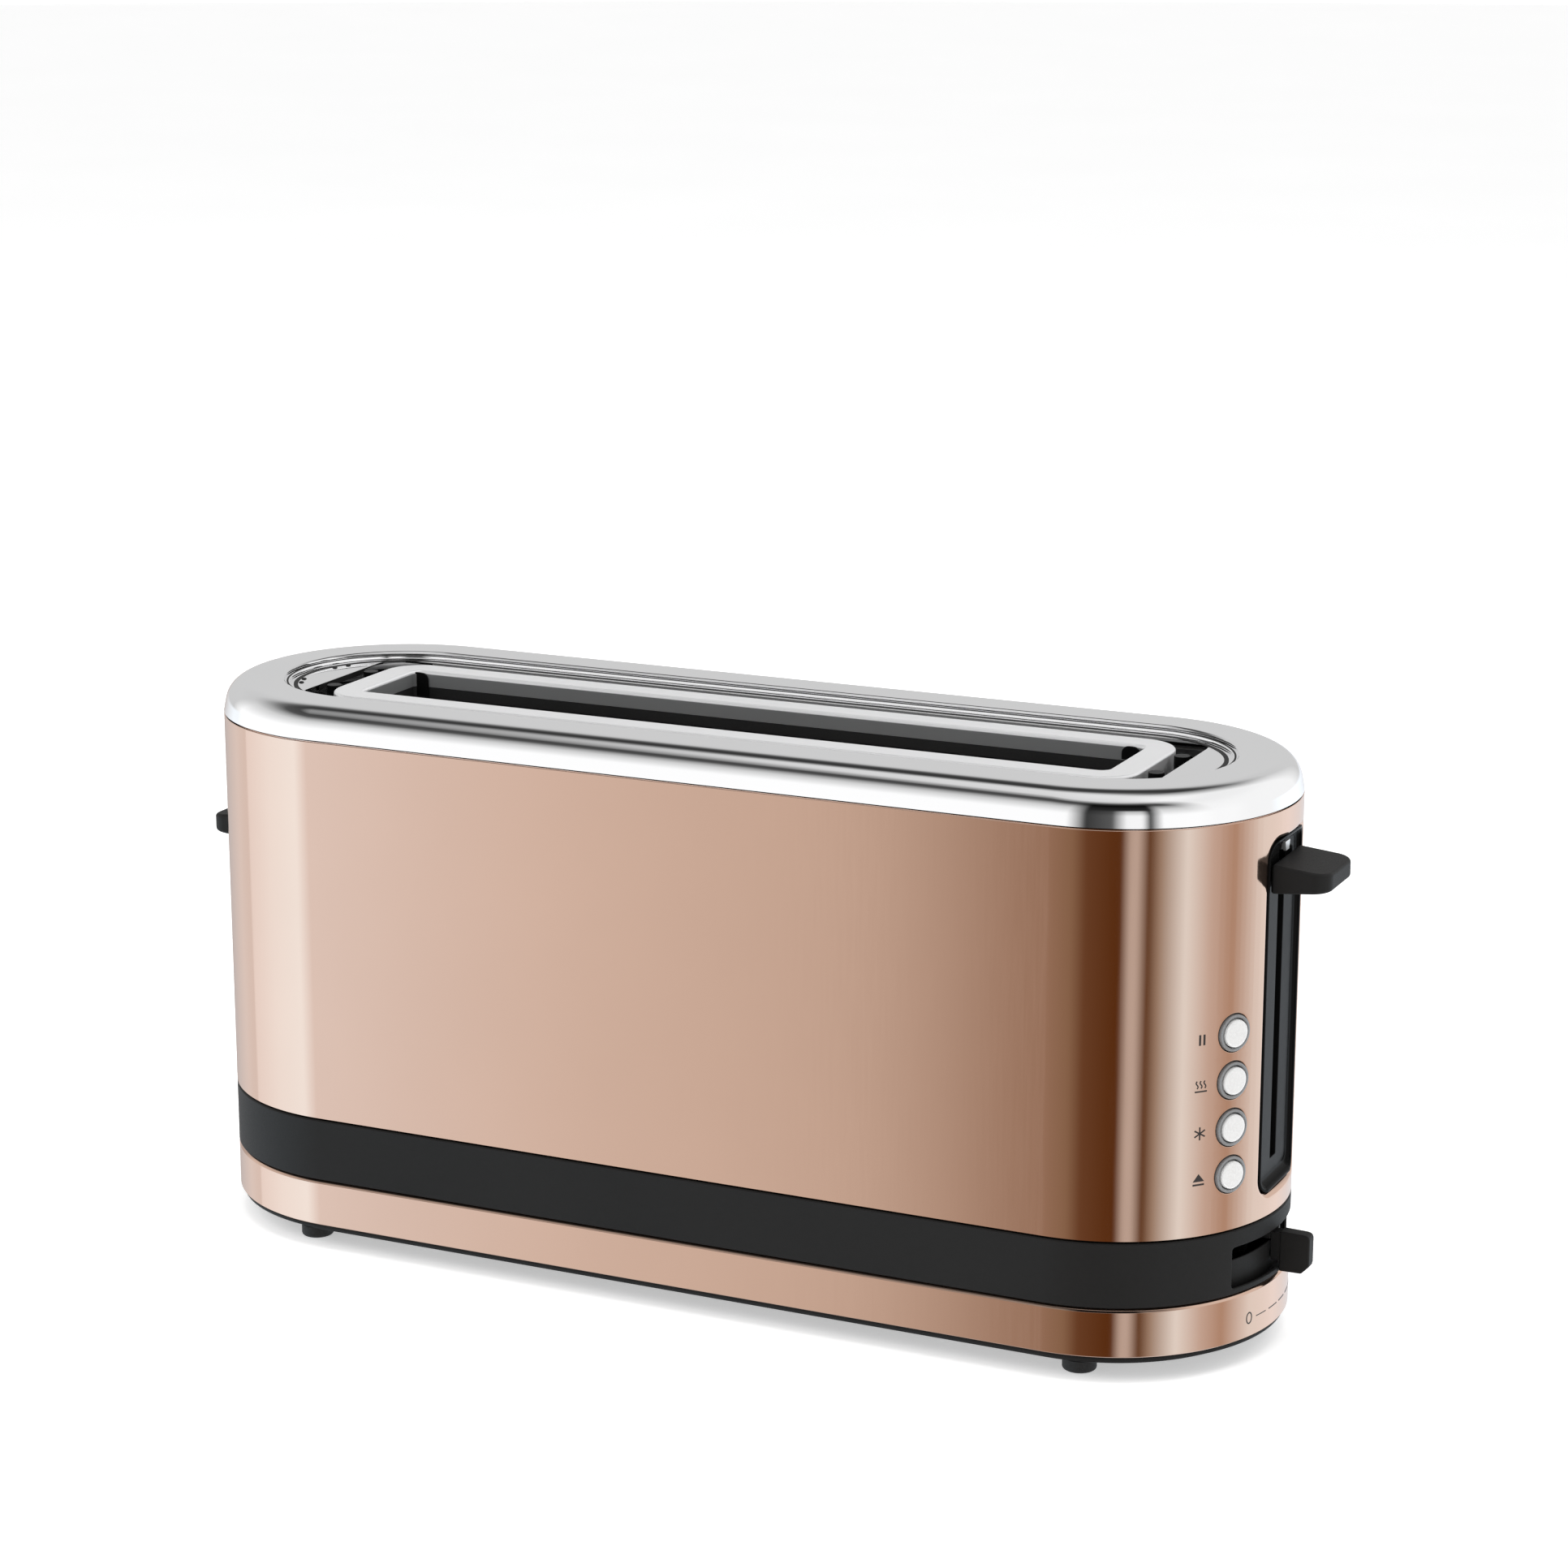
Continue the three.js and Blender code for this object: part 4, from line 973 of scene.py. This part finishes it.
def browning_lever():
    """The lever on its pivot. Its outer end is stepped up to the slot in the wall."""
    low, high = mm_box("browning_lever")
    step, raised = CX + 46, (35.3, 37.7)
    flat = refine(copied("browning_lever", reach=step), 0.12, 2)
    riser = solid("riser", *block((step - 1.5, -2.2, low[2]), (step + 1, 2.2, raised[1])), bevel=0.12)
    outer = solid("outer", *block((step, -2.2, raised[0]), (high[0], 2.2, raised[1])), bevel=0.12)
    dress(joined("browning_lever_arm", [flat, riser, outer]), "browning_lever")


def rod_between(start, end, radius, steps=16, name="wire"):
    axis = Vector(end) - Vector(start)
    length = axis.length
    profile = [(0.01, 0), (radius * 0.7, 0.0), (radius, radius * 0.3), (radius, length - radius * 0.3),
               (radius * 0.7, length), (0.01, length)]
    return turned(name, profile, start, axis, steps)


def grille(name):
    low, high = mm_box(name)
    y = (low[1] + high[1]) / 2
    pitch = (high[0] - low[0] - 1.4) / 10
    left, right, bottom, top = low[0] + 0.7, high[0] - 0.7, low[2] + 1, high[2] - 1
    wires = [rod_between((left, y, z), (right, y, z), 0.95) for z in (bottom, top)]
    for i in range(11):
        x = left + i * pitch
        wires.append(rod_between((x, y, bottom), (x, y, top), 0.75, 12))
    dress(joined(f"{name}_wires", wires), name)


def guide_rod():
    low, high = mm_box("guide_rod")
    middle = (low + high) / 2
    start, end = (middle[0], 0, low[2]), (middle[0], 0, high[2])
    dress(rod_between(start, end, (high[0] - low[0]) / 2, 40, "guide_rod_bar"), "guide_rod")


def return_spring():
    low, high = mm_box("return_spring")
    centre = (low[0] + high[0]) / 2
    radius, wire, turns, steps, around_wire = 4.0, 0.6, 8, 24, 10
    bottom, top = low[2] + wire, high[2] - wire
    rings = []
    for i in range(turns * steps + 1):
        a = 2 * math.pi * i / steps
        z = bottom + (top - bottom) * i / (turns * steps)
        ring = []
        for b in np.linspace(0, 2 * math.pi, around_wire, endpoint=False):
            reach = radius + wire * math.cos(b)
            ring.append((centre + reach * math.cos(a), reach * math.sin(a), z + wire * math.sin(b)))
        rings.append(np.array(ring))
    obj = solid("return_spring_coil", *loft(rings, closed=False))
    dress(obj, "return_spring")
    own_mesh(obj)


def magnet_coil():
    low, high = mm_box("magnet_coil")
    middle = (low + high) / 2
    radius = (high[0] - low[0]) / 2
    bore, flange, layers = 3.5, 0.7, 9
    pitch = (high[2] - low[2] - 2 * flange) / layers
    profile = [(bore, low[2]), (radius, low[2]), (radius, low[2] + flange)]
    for k in range(layers):
        z = low[2] + flange + pitch * (k + 0.5)
        profile += arc((radius - 1.2, z), pitch / 2, -80, 80, 4)
    profile += [(radius, high[2] - flange), (radius, high[2]), (bore, high[2])]
    centre = (middle[0], middle[1], 0)
    dress(turned("magnet_coil_winding", profile, centre, steps=40, closed=True), "magnet_coil")


def inside():
    for node in ("end_plate_right", "end_plate_left", "reflector_front", "reflector_back", "top_liner",
                 "heater_card_front", "heater_card_back", "heater_ribbon_front", "heater_ribbon_back",
                 "board_stand", "control_board", "crumb_tray", "pinion_bracket", "warmer_lever",
                 "armature_plate", "magnet_frame", "warmer_pinion", "pinion_axle", "bread_rack"):
        copy_refined(node, 0.12)
    copy_refined("lift_bracket", 0.2)
    for node in ("warmer_guide_right", "warmer_guide_left"):
        copy_refined(node, 0.3, slot="gloss_black")
    for name in ("grille_front", "grille_back"):
        grille(name)
    browning_lever()
    guide_rod()
    return_spring()
    magnet_coil()


# ---- Studio ------------------------------------------------------------------------------
AZIMUTH = math.radians(25.166)
ELEVATION = math.radians(13.886)
DISTANCE = 1.2386
LENS = 86.664
TARGET = Vector((0.01562, 0, 0.1654))


def camera():
    back = Vector((math.sin(AZIMUTH) * math.cos(ELEVATION), -math.cos(AZIMUTH) * math.cos(ELEVATION),
                   math.sin(ELEVATION)))
    data = bpy.data.cameras.new("camera")
    data.lens = LENS
    data.clip_end = 60
    obj = placed("camera", data)
    obj.location = TARGET + back * DISTANCE
    obj.rotation_euler = back.to_track_quat("Z", "Y").to_euler()
    bpy.context.scene.camera = obj


def staged(mesh, material):
    """A piece of the studio that no reflection shows."""
    mesh.materials.append(material)
    obj = placed(mesh.name, mesh)
    obj.visible_glossy = False
    return obj


def floor():
    material, graph, shader = tree("floor_paper")
    grey = graph.tinted(graph.noise(3.0), (0.93, 0.93, 0.93), (0.96, 0.96, 0.96))
    graph.links.new(grey, shader.inputs["Base Color"])
    shader.inputs["Roughness"].default_value = 0.9
    shader.inputs["Emission Color"].default_value = (1, 1, 1, 1)
    shader.inputs["Emission Strength"].default_value = 0.45
    size = 12
    corners = [(-size, -size, 0), (size, -size, 0), (size, size, 0), (-size, size, 0)]
    mesh = bpy.data.meshes.new("floor")
    mesh.from_pydata(corners, [], [(0, 1, 2, 3)])
    staged(mesh, material)


def backdrop():
    """A white dome that only the lens sees."""
    material, graph, shader = tree("backdrop_paper")
    white = graph.tinted(graph.noise(1.0), (0.99, 0.99, 0.99), (1, 1, 1))
    graph.links.new(white, shader.inputs["Emission Color"])
    shader.inputs["Base Color"].default_value = (0, 0, 0, 1)
    shader.inputs["Emission Strength"].default_value = 1.05
    mesh = bpy.data.meshes.new("backdrop")
    dome = bmesh.new()
    bmesh.ops.create_icosphere(dome, subdivisions=4, radius=11)
    dome.to_mesh(mesh)
    dome.free()
    obj = staged(mesh, material)
    obj.visible_diffuse = obj.visible_shadow = False


# Light that comes level from each side: (degrees from +X, red, green, blue).
SIDES = (
    (-180, 1.18, 1.29, 1.4), (-155, 1.3, 1.55, 1.75), (-132, 1.34, 1.66, 1.9),
    (-123.5, 1.12, 1.24, 1.36), (-119, 0.97, 0.97, 0.97), (-113.6, 0.82, 0.78, 0.74),
    (-111.3, 0.44, 0.33, 0.26), (-96, 0.36, 0.26, 0.18), (-87, 0.2, 0.1, 0.05),
    (-66, 0.14, 0.05, 0.01), (-60, 0.75, 0.75, 0.75), (-56, 0.75, 0.75, 0.75),
    (-49, 0.15, 0.06, 0.01), (-42, 0.49, 0.43, 0.37), (-25, 1.13, 1.36, 1.5),
    (-8, 0.82, 0.78, 0.76), (8, 0.63, 0.49, 0.4), (32, 1.1, 1.25, 1.35),
    (60, 1.2, 1.3, 1.4), (130, 0.55, 0.5, 0.48), (165, 1.0, 1.05, 1.1),
)
# Light from above, by the sine of its height, at the back and at the front.
BACK = ((0, 0.62), (0.3, 0.63), (0.5, 0.6), (0.577, 0.5), (0.65, 0.3), (0.7, 0.13), (0.78, 0.04),
        (0.87, 0.04), (0.92, 0.12), (1, 0.3))
FRONT = ((0, 1.1), (0.12, 1.05), (0.38, 0.8), (0.52, 0.66), (0.64, 0.4), (0.74, 0.08), (0.81, 0.06),
         (0.88, 0.42), (0.91, 0.7), (1, 0.8))
# How much of the front light is left, by the side that it comes from.
SHADE = ((-180, 1), (-100, 1), (-88, 0.03), (-48, 0.03), (-41, 1), (180, 1))
# The same at the level of a low lamp that stands in the shade, then that level.
LAMP = ((-180, 1), (-100, 1), (-88, 0.04), (-72, 0.1), (-63, 1), (-54, 1), (-49, 0.04), (-41, 1),
        (180, 1))
LAMP_LEVEL = ((0, 1), (0.1, 1), (0.22, 0.8), (0.4, 0.7), (0.5, 0))
# How much of a white light is mixed in, by how far to the right it comes from.
BRIGHT_SIDE = ((0, 0), (0.03, 0), (0.35, 0.9), (1, 0.9))


class Sky(Graph):
    """A light that depends only on direction."""

    def __init__(self, node_tree):
        super().__init__(node_tree)
        where = self.add("TexCoord").outputs["Generated"]
        apart = self.add("SeparateXYZ", {"Vector": where})
        self.x, self.y, self.z = (apart.outputs[axis] for axis in "XYZ")

    def turn(self):
        """The compass direction, -180 to 180 degrees as 0 to 1."""
        node = self.nodes.new("ShaderNodeMath")
        node.operation = "ARCTAN2"
        self.links.new(self.y, node.inputs[0])
        self.links.new(self.x, node.inputs[1])
        return self.spread(node.outputs[0], -math.pi, math.pi)

    def mixed(self, factor, a, b, blend="MIX"):
        node = self.nodes.new("ShaderNodeMix")
        node.data_type = "RGBA"
        node.blend_type = blend
        self.links.new(factor, node.inputs["Factor"])
        self.links.new(a, node.inputs["A"])
        self.links.new(b, node.inputs["B"])
        return node.outputs["Result"]


def by_angle(stops):
    return [((degrees + 180) / 360, *color) for degrees, *color in stops]


def world():
    """A soft studio: panels of light round the sides, and bands of grey and white above."""
    scene_world = bpy.data.worlds.new("studio")
    bpy.context.scene.world = scene_world
    scene_world.use_nodes = True
    sky = Sky(scene_world.node_tree)
    turn = sky.turn()
    sides = sky.ramp(turn, by_angle(SIDES))
    back = sky.ramp(sky.z, BACK)
    front = sky.ramp(sky.z, FRONT)
    lamp_level = sky.ramp(sky.z, LAMP_LEVEL)
    shade = sky.mixed(lamp_level, sky.ramp(turn, by_angle(SHADE)), sky.ramp(turn, by_angle(LAMP)))
    front = sky.mixed(sky.spread(sky.z, 0.86, 0.74), front, shade, "MULTIPLY")
    above = sky.mixed(sky.spread(sky.y, 0.1, 0.34), front, back)
    white = sky.ramp(sky.z, ((0, 1), (1, 1)))
    right = sky.mixed(sky.ramp(sky.x, BRIGHT_SIDE), above, white)
    above = sky.mixed(sky.spread(sky.y, -0.35, -0.1), above, right)
    result = sky.mixed(sky.spread(sky.z, -0.09, -0.02), sides, above)
    background = scene_world.node_tree.nodes["Background"]
    sky.links.new(result, background.inputs["Color"])


def area_light(name, place, size, power, aim=(0, 0, 0.1)):
    data = bpy.data.lights.new(name, "AREA")
    data.shape = "RECTANGLE"
    data.size, data.size_y = size
    data.energy = power
    obj = placed(name, data)
    obj.location = place
    obj.rotation_euler = (Vector(place) - Vector(aim)).to_track_quat("Z", "Y").to_euler()
    obj.visible_glossy = False


def studio():
    bpy.context.scene.view_settings.view_transform = "Standard"
    world()
    floor()
    backdrop()
    camera()
    area_light("key_light", (-0.8, -1.2, 1.6), (1.6, 1.2), 14)
    area_light("back_light", (0.6, 1.2, 1.5), (1.6, 1.0), 8)
    area_light("top_light", (0, 0, 1.8), (1.4, 1.0), 11)


outer_shell()
base_band()
lower_trim()
top_cover()
base_pan()
feet()
base_screws()
cable_gland()
channel("lift_channel", LIFT_CHANNEL, 1, 6, (61, 165))
channel("warmer_channel", WARMER_CHANNEL, -1, 5, (96, 140))
knob("lift_knob", 1)
knob("warmer_knob", -1, shorter=3.2)
lift_tongue()
buttons()
printed_marks()
browning_tab()
tray_handle()
warmer_ring()
ring_plates()
ring_painted_shade()
inside()
studio()
